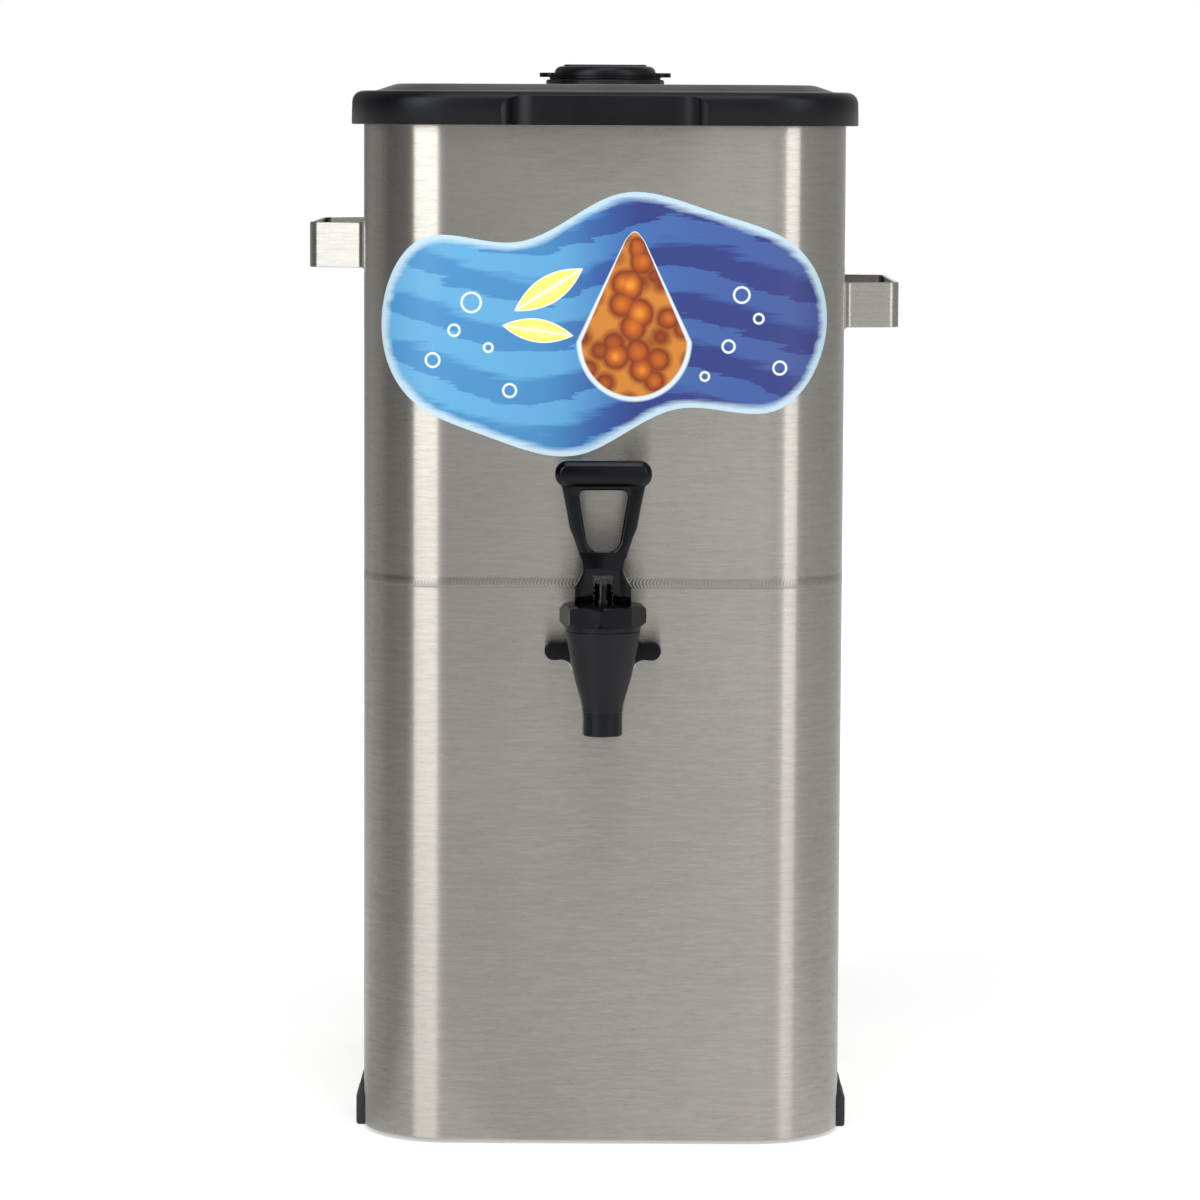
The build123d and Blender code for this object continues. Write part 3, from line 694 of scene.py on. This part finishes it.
# Printed film
def closed_spline(points, steps):
    """Points on the smooth closed cubic through the given ones, by chord length."""
    count = len(points)
    gaps = [math.dist(points[i], points[(i + 1) % count]) for i in range(count)]
    slopes = [[0.0, 0.0] for _ in range(count)]
    for axis in (0, 1):
        for _ in range(60):
            for i in range(count):
                h0, h1 = gaps[i - 1], gaps[i]
                d0 = (points[i][axis] - points[i - 1][axis]) / h0
                d1 = (points[(i + 1) % count][axis] - points[i][axis]) / h1
                pull = 3 * (h1 * d0 + h0 * d1)
                sides = h1 * slopes[i - 1][axis] + h0 * slopes[(i + 1) % count][axis]
                slopes[i][axis] = (pull - sides) / (2 * (h0 + h1))
    out = []
    for i in range(count):
        j = (i + 1) % count
        h = gaps[i]
        for k in range(steps):
            t = k / steps
            a, b = (1 + 2 * t) * (1 - t) ** 2, t * (1 - t) ** 2
            c, d = t * t * (3 - 2 * t), t * t * (t - 1)
            out.append(tuple(
                a * points[i][n] + b * h * slopes[i][n] + c * points[j][n] + d * h * slopes[j][n]
                for n in (0, 1)
            ))
    return out


def on_film(x, z, proud):
    """Point on the tank's front at a width and height, a little proud of it."""
    over = abs(x) - (HALF_W - CORNER)
    if over <= 0:
        return (x, FRONT_Y - proud, z)
    radius = CORNER + proud
    return (x, FRONT_Y + CORNER - math.sqrt(radius * radius - over * over), z)


film_knots = [
    (-104.5, 388), (-84, 428), (-42, 426), (8, 449), (52, 440), (90, 424), (104.5, 390), (80, 348),
    (36, 349), (-12, 327), (-56, 336), (-92, 354),
]
film_line = closed_spline(film_knots, 24)
film_z, film_thick, film_air = 388, 0.17, 0.03
film_shares = [0.0, 0.2, 0.4, 0.55, 0.66, 0.70, 0.74, 0.78, 0.82, 0.86, 0.90, 0.925, 0.95, 0.97, 0.985, 1.0]
film_verts, film_flat = [], []
for share in film_shares[1:]:
    for px, pz in film_line:
        spot = (px * share, film_z + (pz - film_z) * share)
        film_flat.append(spot)
        film_verts.append(on_film(*spot, film_thick + film_air))
film_flat.append((0.0, film_z))
film_verts.append(on_film(0.0, film_z, film_thick + film_air))
film_count = len(film_line)
film_faces = []
for i in range(len(film_shares) - 2):
    inner, outer = i * film_count, (i + 1) * film_count
    for j in range(film_count):
        k = (j + 1) % film_count
        film_faces.append((inner + j, inner + k, outer + k, outer + j))
for j in range(film_count):
    film_faces.append((len(film_verts) - 1, j, (j + 1) % film_count))
film = new_object("print_film", film_verts, film_faces)
edge_data = film.data.attributes.new("edge", "FLOAT", "POINT")
for i, spot in enumerate(film_flat):
    edge_data.data[i].value = min(math.dist(spot, p) for p in film_line) * MM
if sum(f.normal.y for f in film.data.polygons) > 0:
    film.data.flip_normals()
shell = film.modifiers.new("thickness", "SOLIDIFY")
shell.thickness = film_thick * MM
shell.offset = -1.0
bake(film)
finish_piece(film, film_print, "printed_film", "dispenser", "front_decal")

# Lid
inner_skirt = 3.4
shoulder_arc = arc(0.22, 490.8, 5.4, 0, 90, 7)
lid_outer = [(inner_skirt, SKIRT_LOW), (5.4, SKIRT_LOW), (5.85, 480.85)] + shoulder_arc + [
    (-4.6, 496.2), (-6.1, 496.35), (-7.2, 496.75), (-13.8, 498.95), (-15.4, 499.35), (-16.8, 499.5),
    (-26.6, 499.5), (-27.8, 499.25), (-28.6, 498.6), (-29.4, 496.9), (-30.0, 496.3), (-31.2, 496.0),
]
lid_rings = [tank_ring(offset, z) for offset, z in lid_outer]
start_ring = lid_rings[0]
collar = [
    (31.2, 496.0), (29.6, 496.25), (29.1, 497.0), (29.1, 501.9), (28.5, 502.6), (25.8, 502.6), (25.2, 502.0),
    (25.2, rim_z),
]
lid_rings += [round_ring(start_ring, radius, z) for radius, z in collar]
lid_rings += [tank_ring(offset, z) for offset, z in (
    (-24.5, rim_z), (-24.5, 496.9), (-14.0, 496.9), (-14.0, rim_z), (3.0, rim_z),
    (inner_skirt, rim_z - 0.4),
)]
lid_skin = loft("lid_skin", lid_rings, close=True, sharp=50.0)
finish_piece(lid_skin, lid_black, "satin_black_plastic", "lid", "lid")


def grip(name, end, proud):
    """Finger block on the lid's edge: flared at the skirt, round at its corners and along its top."""
    top, share = 494.0, proud / 8.0
    skirt, knee_x, turn = HALF_D + 5.9, 43.9, 49.0
    hollow, bulge = 7.6 * share, 15.8 * share
    foot_x = knee_x + hollow * math.sin(math.radians(turn))
    flat_x = knee_x - bulge * math.sin(math.radians(turn))
    quarter = [(foot_x + 2.0, skirt - 2.5), (foot_x + 2.0, skirt - 0.3)]
    quarter += arc(foot_x, skirt - 0.3 + hollow, hollow, -90, -90 - turn, 8)
    quarter += arc(flat_x, skirt + proud - bulge, bulge, 90 - turn, 90, 14)
    plan = quarter + [(-x, y) for x, y in reversed(quarter)]
    block = prism(name, [(x, TANK_Y + end * y) for x, y in plan], "Z", SKIRT_LOW, top)
    wide, corner = foot_x + 0.5, 11.0
    face = [(wide, SKIRT_LOW - 5.0)] + arc(wide - corner, top - corner, corner, 0, 90, 12)
    face = face + [(-x, z) for x, z in reversed(face)]
    near, far = TANK_Y + end * (skirt - 20.0), TANK_Y + end * (skirt + 20.0)
    cut(block, prism("grip_tool", face, "Y", min(near, far), max(near, far)), "INTERSECT", sharp=50.0)

    creases = crease_angles(block)

    def upper_front(a, b):
        out = min(end * (a.y - TANK_Y), end * (b.y - TANK_Y)) - skirt
        high = min(a.z, b.z) > SKIRT_LOW + 2.0
        return high and out > 0.3 * proud and creases.get(edge_key(a, b), 0.0) > 30.0

    round_edges(block, upper_front, 0.4 * proud, 6)
    finish_piece(block, lid_black, "satin_black_plastic", "lid")


def edge_key(a, b):
    """Name of an edge by its two ends, to a thousandth of a millimetre."""
    return tuple(sorted(tuple(round(c, 3) for c in v) for v in (a, b)))


def crease_angles(obj):
    """Angle between the faces at each edge of an object, in degrees."""
    bm = bmesh.new()
    bm.from_mesh(obj.data)
    found = {}
    for edge in bm.edges:
        if len(edge.link_faces) == 2:
            turn = math.degrees(edge.calc_face_angle(0.0))
            found[edge_key(edge.verts[0].co / MM, edge.verts[1].co / MM)] = turn
    bm.free()
    return found


grip("grip_front", -1, 8.0)
grip("grip_rear", 1, 4.0)

# Cap
tab_half, disc_r, span, plug_r = 7.5, 27.5, 32.35, 22.4
join = math.degrees(math.asin(tab_half / disc_r))
cap_disc = arc(span - tab_half, 0, tab_half, -90, 90, 14)
cap_disc += arc(0, 0, disc_r, join, 180 - join, 40)
cap_disc += arc(-span + tab_half, 0, tab_half, 90, 270, 14)
cap_disc += arc(0, 0, disc_r, 180 + join, 360 - join, 40)
cap_plate = prism("cap_plate", [(x, TANK_Y + y) for x, y in cap_disc], "Z", 503.8, 505.9)
soften(cap_plate, 0.5, segments=3)
cap_round = lathe("cap_round", [
    (plug_r, 487.6), (24.0, 487.6), (24.6, 488.2), (24.6, 502.6), (26.9, 502.6), (27.4, 503.0), (27.4, 504.0),
    (26.0, 505.4), (25.3, 505.7), *arc(21.6, 505.8, 3.3, 0, 90, 8),
    (20.8, 509.1), (20.3, 508.7), (0.01, 508.6), (0.01, 502.6), (plug_r, 502.6),
], middle_y=TANK_Y, steps=128)
rib_end, rib_half = 20.5, 4.5
rib_line = arc(rib_end - rib_half, 0, rib_half, -90, 90, 12)
rib_line += arc(-rib_end + rib_half, 0, rib_half, 90, 270, 12)
cap_rib = prism("cap_rib", [(x, TANK_Y + y) for x, y in rib_line], "Z", 505.0, 510.0)
soften(cap_rib, 0.9, segments=4)
finish_piece(cap_round, lid_black, "satin_black_plastic", "cap", "lid_cap")
for extra in (cap_plate, cap_rib):
    finish_piece(extra, lid_black, "satin_black_plastic", "cap")

# Tap
spout_r, spout_bore, spout_top, chamber_r, chamber_low = 9.2, 6.5, 211.1, 11.5, 226.0
tube_bore, neck_r, neck_front, neck_back = 5.2, 12.0, -137.5, -136.0
tap_shell = lathe("tap_shell", [
    (chamber_r, BONNET_LOW), (16.9, BONNET_LOW), (17.0, 250.8), (17.0, 248.8), (17.3, 248.5), (17.3, 247.9),
    (16.75, 244.9), (15.75, 239.6), (14.7, 234.2), (13.7, 229.2), (13.2, 227.0), (12.2, 223.4),
    (10.9, 218.9), (9.95, 215.6), (9.5, 213.7), (9.4, 211.4), (spout_r, spout_top), (spout_bore, spout_top),
    (spout_bore, chamber_low), (chamber_r, chamber_low),
], sharp=30.0)
tap_spout = lathe("tap_spout", [
    (spout_r, spout_top), (spout_r, 200.5), (8.8, 200.0), (6.9, 200.0), (spout_bore, 200.5),
    (spout_bore, spout_top),
], sharp=30.0)
tap_neck = lathe_y("tap_neck", [
    (tube_bore, neck_front), (neck_r - 0.4, neck_front), (neck_r, -137.1), (neck_r, -136.4),
    (neck_r - 0.4, neck_back), (tube_bore, neck_back),
], sharp=30.0)
tap_tube = lathe_y("tap_tube", [
    (tube_bore, -151.0), (9.5, -151.0), (9.5, -137.4), (tube_bore, -137.4),
], sharp=30.0)
finish_piece(tap_shell, dark_grey, "dark_grey_plastic", "dispenser", "faucet_body")
for extra in (tap_neck, tap_tube):
    finish_piece(extra, dark_grey, "dark_grey_plastic", "dispenser")
finish_piece(tap_spout, gloss_black, "gloss_black_plastic", "dispenser")

# Bonnet: octagon with its corners turned off above and below
bonnet_r, nut_turn, turned_r = 20.05, -4, 20.3
octagon = arc(0.0, TAP_Y, bonnet_r, nut_turn, nut_turn + 360, 8)[:-1]
bonnet = prism("bonnet_nut", octagon, "Z", BONNET_LOW, BONNET_TOP)
turned = lathe("turned_tool", [
    (0.01, BONNET_LOW), (18.1, BONNET_LOW), (turned_r, 252.9), (turned_r, 258.6), (18.0, BONNET_TOP),
    (0.01, BONNET_TOP),
], steps=128)
cut(bonnet, turned, "INTERSECT", sharp=25.0)
bore = lathe("bore_tool", [(0.01, 240.0), (STEM_BORE, 240.0), (STEM_BORE, 270.0), (0.01, 270.0)], steps=64)
cut(bonnet, bore, sharp=25.0)
soften(bonnet, 0.35, segments=3, angle=20.0, sharp=50.0)
bonnet_plug = lathe("bonnet_plug", [
    (STEM_BORE, 246.0), (11.0, 246.0), (11.4, 246.4), (11.4, 251.1), (STEM_BORE, 251.1),
])
bonnet_rim = lathe("bonnet_rim", [
    (17.05, 249.1), (17.5, 249.1), (17.75, 249.35), (17.9, 251.2), (17.05, 251.2),
], sharp=30.0)
finish_piece(bonnet, soft_black, "gloss_black_plastic", "dispenser", "faucet_bonnet")
for extra in (bonnet_plug, bonnet_rim):
    finish_piece(extra, gloss_black, "gloss_black_plastic", "dispenser")

# Wing nut: hub with an eased front edge and filleted wings
wing_tip, wing_half, hub_r, fillet, fillet_z = 27.2, 4.5, 16.0, 6.0, 10.2
fillet_x = math.sqrt((hub_r + fillet) ** 2 - fillet_z ** 2)
hub_turn = math.degrees(math.atan2(fillet_z, fillet_x))
quarter = arc(wing_tip - wing_half, 0, wing_half, 0, 90, 8)
quarter += arc(fillet_x, fillet_z, fillet, -90, -180 + hub_turn, 8)
quarter += arc(0, 0, hub_r, hub_turn, 90, 12)[1:]
upper = quarter + [(-x, z) for x, z in reversed(quarter[:-1])]
wing_line = upper + [(x, -z) for x, z in reversed(upper[1:-1])]
nut_back, wing_front, lip_back, nut_front, lip_r = -126.5, -137.0, -137.6, -139.5, 9.8
wings = prism("wing_blades", [(x, SHANK_Z + z) for x, z in wing_line], "Y", wing_front, nut_back)
wing_bore = arc(0.0, SHANK_Z, NUT_BORE, 0, 360, 96)[:-1]
cut(wings, prism("wing_bore", wing_bore, "Y", -150.0, -120.0), sharp=30.0)
soften(wings, 1.0, segments=4, angle=50.0)
hub = lathe_y("wing_hub", [
    (NUT_BORE, nut_back), (15.6, nut_back), (hub_r, -126.9), (hub_r, -138.4), (15.7, -139.1),
    (15.0, nut_front), (lip_r, nut_front), (lip_r, lip_back), (NUT_BORE, lip_back),
], sharp=30.0)
finish_piece(wings, soft_black, "gloss_black_plastic", "wing_nut", "wing_nut")
finish_piece(hub, gloss_black, "gloss_black_plastic", "wing_nut")

# Stem
stem_r, stem_low, stem_top = 4.05, 227.5, 270.3
stem = lathe("stem_rod", [
    (0.01, stem_low), (stem_r, stem_low), (stem_r, 261.2), (4.3, 261.3), (3.8, 269.8), (3.5, stem_top),
    (0.01, stem_top),
], steps=64, sharp=30.0)
finish_piece(stem, gloss_black, "gloss_black_plastic", "stem", "valve_stem")


def coil(name, radius, wire, low, high, turns, steps=28, sides=10):
    """Coil spring about the tap's axis, with one flat turn at each end."""
    rings = []
    count = int(turns * steps)
    for k in range(count + 1):
        a = 2 * math.pi * k / steps
        rise = min(1.0, max(0.0, (k - steps) / (count - 2 * steps)))
        middle = low + wire + (high - low - 2 * wire) * rise
        rings.append([
            (
                (radius + wire * math.cos(b)) * math.cos(a),
                TAP_Y + (radius + wire * math.cos(b)) * math.sin(a),
                middle + wire * math.sin(b),
            )
            for b in [2 * math.pi * n / sides for n in range(sides)]
        ])
    return loft(name, rings, sharp=60.0)


# Return spring of the valve: it stays under the bonnet, built at rest; in the real tap it is squeezed as the
# stem lifts
spring_low, spring_high, stem_rise = 231.5, 246.0, 5.03
spring = coil("return_coil", 6.7, 0.5, spring_low, spring_high, 6.5)
finish_piece(spring, spring_steel, "spring_steel", "dispenser", "stem_spring")
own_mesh(spring)


# Tap handle
def cam_point(angle):
    """Point of the cam that meets the bonnet at a pull in degrees: (y, z)."""
    turn = math.radians(angle)
    reach = PIN_Z - BONNET_TOP - 0.04 + LIFT_RATE * turn
    return (
        TAP_Y - reach * math.sin(turn) - LIFT_RATE * math.cos(turn),
        PIN_Z - reach * math.cos(turn) + LIFT_RATE * math.sin(turn),
    )


def mirrored(half):
    """Outline from its right half, listed from the bottom middle to the top middle."""
    return half + [(-x, z) for x, z in reversed(half) if x > 1e-6]


fork_half, fork_top, loop_half, slot_half, below = 12.9, 285.0, 4.3, 4.6, 255
tool_front, tool_back = -190, -130
side_line = [cam_point(a) for a in range(0, 61, 4)]
side_line += through(cam_point(60), (TAP_Y - 8.4, PIN_Z + 7.5), (TAP_Y - loop_half, fork_top), 12)[1:]
side_line += through((TAP_Y + loop_half, fork_top), (TAP_Y + 5.4, PIN_Z + 11), (TAP_Y + 7.4, PIN_Z + 3))
side_line += [(TAP_Y + 7.4, PIN_Z - 3), (TAP_Y + 6.4, BONNET_TOP)]
fork = prism("lever_fork", side_line, "X", -fork_half, fork_half)
front_line = [(0, 260.0), (fork_half, 260.0)] + through((fork_half, 269.6), (10.7, 273), (9.1, 277))
front_line += through((9.1, 277), (9.6, 281), (11.0, fork_top))[1:] + [(0, fork_top)]
front_tool = prism("front_tool", mirrored(front_line), "Y", tool_front - 10, tool_back + 10)
cut(fork, front_tool, "INTERSECT", sharp=30.0)
recess = [(-7.5, below), (7.5, below), (7.5, 277.4), (-7.5, 277.4)]
cut(fork, prism("recess_tool", recess, "Y", tool_front, TAP_Y - 4.5), sharp=30.0)
slot_line = [(-slot_half, below), (slot_half, below), (slot_half, 274.4), (-slot_half, 274.4)]
cut(fork, prism("slot_tool", slot_line, "Y", tool_front, tool_back), sharp=30.0)
arch_half, arch_top = 11.6, 265.0
arch_line = [(0, below), (arch_half, below)]
arch_line += through((arch_half, BONNET_TOP), (9.4, 263.8), (slot_half, arch_top), 10) + [(0, arch_top)]
cut(fork, prism("arch_tool", mirrored(arch_line), "Y", tool_front, TAP_Y + 4.0), sharp=30.0)
pin_r, past_fork = 1.6, 20
pin_hole = arc(TAP_Y, PIN_Z, pin_r, 0, 360, 40)[:-1]
cut(fork, prism("pin_tool", pin_hole, "X", -past_fork, past_fork), sharp=30.0)
soften(fork, 0.45, segments=3, angle=35.0, sharp=60.0)

loop_low, waist, loop_top = 281.0, (15.6, 296.5), 316.9
outer_half = through((10.4, loop_low), (12.8, 289.2), waist)
outer_half += through(waist, (17.6, 307.6), (19.6, loop_top))[1:]


def eased(points, radii, steps):
    """Open line with its inner corners rounded."""
    out = [points[0]]
    for i in range(1, len(points) - 1):
        before, here, after = Vector(points[i - 1]), Vector(points[i]), Vector(points[i + 1])
        to_a, to_b = (before - here).normalized(), (after - here).normalized()
        half = to_a.angle(to_b) / 2
        reach = radii[i - 1] / math.tan(half)
        centre = here + (to_a + to_b).normalized() * (radii[i - 1] / math.sin(half))
        start, end = here + to_a * reach, here + to_b * reach
        a0 = math.atan2(start.y - centre.y, start.x - centre.x)
        a1 = math.atan2(end.y - centre.y, end.x - centre.x)
        sweep = (a1 - a0 + math.pi) % (2 * math.pi) - math.pi
        for k in range(steps + 1):
            a = a0 + sweep * k / steps
            out.append((centre.x + radii[i - 1] * math.cos(a), centre.y + radii[i - 1] * math.sin(a)))
    out.append(points[-1])
    return out


window_low, window_top = 284.9, 313.5
window_corners = [(0.0, window_low), (3.8, window_low), (7.4, 288.6), (11.5, window_top), (0.0, window_top)]
window_half = eased(window_corners, (5.2, 9.0, 2.6), 9)
frame_line = mirrored([(0.0, loop_low)] + outer_half + [(0.0, loop_top)])
loop = prism("lever_loop", frame_line, "Y", TAP_Y - loop_half, TAP_Y + loop_half)
cut(loop, prism("window_tool", mirrored(window_half), "Y", tool_front, tool_back), sharp=30.0)
soften(loop, 1.7, segments=4, angle=60.0, sharp=60.0)

bar_half, bar_low, bar_top, bar_deep = 22.3, 314.9, 327.2, 6.2
bar_line = [(-bar_half, bar_low), (bar_half, bar_low), (bar_half, bar_top), (-bar_half, bar_top)]
bar = prism("lever_bar", bar_line, "Y", TAP_Y - bar_deep, TAP_Y + bar_deep)


def along_bar(a, b):
    """Whether an edge runs from the bar's front to its back."""
    return abs(a.y - b.y) > 5.0


def at_face(a, b):
    """Whether an edge borders the bar's front or back."""
    return abs(a.y - b.y) < 0.01 and abs(abs(a.y - TAP_Y) - bar_deep) < 0.01


round_edges(bar, along_bar, 5.8, 8)
round_edges(bar, at_face, 2.4, 1)
soften(bar, 0.6, segments=3, angle=25.0, sharp=60.0)
finish_piece(fork, gloss_black, "gloss_black_plastic", "handle", "faucet_handle")
for extra in (loop, bar):
    finish_piece(extra, gloss_black, "gloss_black_plastic", "handle")

# The handle pin gets the nearly black steel: painted shade in the slot.
for node_name, node_mat in (
    ("outer_gasket", milky), ("tank_shank", turned_steel), ("shank_nut", turned_steel),
    ("seat_cup", milky), ("handle_pin", pin_steel_painted_shade),
):
    dress(node_name, node_mat)


# Stage, lamps and camera
def floor_plane():
    """Pale floor that glows for the camera, through glass and, by direction, in reflections; the object's
    shadow stays."""
    mesh = bpy.data.meshes.new("floor")
    half = 9
    corners = [(-half, -half, 0), (half, -half, 0), (half, half, 0), (-half, half, 0)]
    mesh.from_pydata(corners, [], [(0, 1, 2, 3)])
    plane = bpy.data.objects.new("floor", mesh)
    bpy.context.scene.collection.objects.link(plane)
    mat, net, shader = material("floor")
    speck = net.noise((3.0, 3.0, 3.0))
    pale = net.ramp(speck, [(0.3, (0.80, 0.80, 0.795)), (0.7, (0.79, 0.79, 0.785))])
    net.link(pale, shader.inputs["Base Color"])
    shader.inputs["Roughness"].default_value = 0.9
    shader.inputs["Specular IOR Level"].default_value = 0.1
    shader.inputs["Emission Color"].default_value = (1, 1, 1, 1)
    coord = net.nodes.new("ShaderNodeTexCoord")
    far = net.nodes.new("ShaderNodeVectorMath")
    far.operation = "LENGTH"
    net.link(coord.outputs["Object"], far.inputs[0])
    glow = net.remap(far.outputs["Value"], 0.48, 0.88, 0.53, 1.6)
    path = net.nodes.new("ShaderNodeLightPath")
    seen = net.math("MAXIMUM", path.outputs["Is Camera Ray"], path.outputs["Is Transmission Ray"])
    around = net.by_azimuth(net.axes(coord.outputs["Object"]), [
        (-180, 0.3), (-150, 0.1), (-128, 0.25), (-104, 0.12), (-90, 0.0), (-60, 0.0), (-50, 0.5), (-24, 0.55),
        (-16, 0.24), (0, 0.28), (30, 0.38), (44, 0.6), (58, 0.5), (70, 0.3), (120, 0.3), (180, 0.3),
    ])
    seen = net.add(net.mul(seen, glow), net.mul(path.outputs["Is Glossy Ray"], around))
    net.link(seen, shader.inputs["Emission Strength"])
    mesh.materials.append(mat)


def studio_world():
    """Soft grey studio, white behind the object, and white all round to the camera and through glass."""
    world = bpy.data.worlds.new("studio")
    bpy.context.scene.world = world
    world.use_nodes = True
    net = Net(world.node_tree)
    background = net.nodes["Background"]
    axes = net.axes(net.nodes.new("ShaderNodeTexCoord").outputs["Generated"])
    grey = net.by_azimuth(axes, [
        (-180, 0.75), (-166, 0.22), (-150, 0.22), (-128, 0.34), (-108, 0.26), (-92, 0.0), (-64, 0.0),
        (-45, 0.25), (-20, 0.25), (-2, 0.27), (2, 1.0), (14, 0.98), (38, 0.8), (62, 0.5), (90, 0.45),
        (120, 0.40), (160, 0.46), (180, 0.75),
    ])
    path = net.nodes.new("ShaderNodeLightPath")
    behind = net.by_azimuth(axes, [(-172.5, 1.0), (-171.5, 0.0), (171.5, 0.0), (172.5, 1.0)])
    glossy = net.mul(path.outputs["Is Glossy Ray"], behind)
    seen = net.math("MAXIMUM", path.outputs["Is Camera Ray"], path.outputs["Is Transmission Ray"])
    seen = net.math("MAXIMUM", seen, glossy)
    net.link(net.blend(seen, grey, (1.0, 1.0, 1.0)), background.inputs["Color"])
    background.inputs["Strength"].default_value = 1.0


floor_plane()
studio_world()


def softbox(name, azimuth, distance, height, width, tall, power, aim=0.26):
    """Area light facing the object: azimuth 0 is the camera's side, positive to its right."""
    light = bpy.data.lights.new(name, "AREA")
    light.shape = "RECTANGLE"
    light.size, light.size_y = width, tall
    light.energy = power
    lamp = bpy.data.objects.new(name, light)
    bpy.context.scene.collection.objects.link(lamp)
    a = math.radians(azimuth)
    lamp.location = (distance * math.sin(a), -distance * math.cos(a), height)
    lamp.rotation_mode = "QUATERNION"
    lamp.rotation_quaternion = (Vector((0, 0, aim)) - lamp.location).to_track_quat("-Z", "Y")
    lamp.visible_camera = False
    return lamp


softbox("soft_left", -37.5, 2.6, 1.45, 1.5, 2.2, 50.0, aim=0.6)
softbox("soft_right", 49.5, 2.6, 1.45, 0.85, 2.2, 21.0, aim=0.6)
softbox("soft_top", 0.0, 0.9, 2.4, 1.6, 1.6, 19.0)

camera = bpy.data.cameras.new("camera")
camera.sensor_width = 36.0
camera.lens = 148.5
eye = bpy.data.objects.new("camera", camera)
bpy.context.scene.collection.objects.link(eye)
eye.location = (-1.38 * MM, -2430.0 * MM, 482.87 * MM)
look_down, roll = 5.54, 0.265
tilted = Matrix.Rotation(math.radians(90 - look_down), 3, "X")
eye.rotation_euler = (tilted @ Matrix.Rotation(math.radians(roll), 3, "Z")).to_euler()
bpy.context.scene.camera = eye

bpy.context.scene.view_settings.view_transform = "Standard"
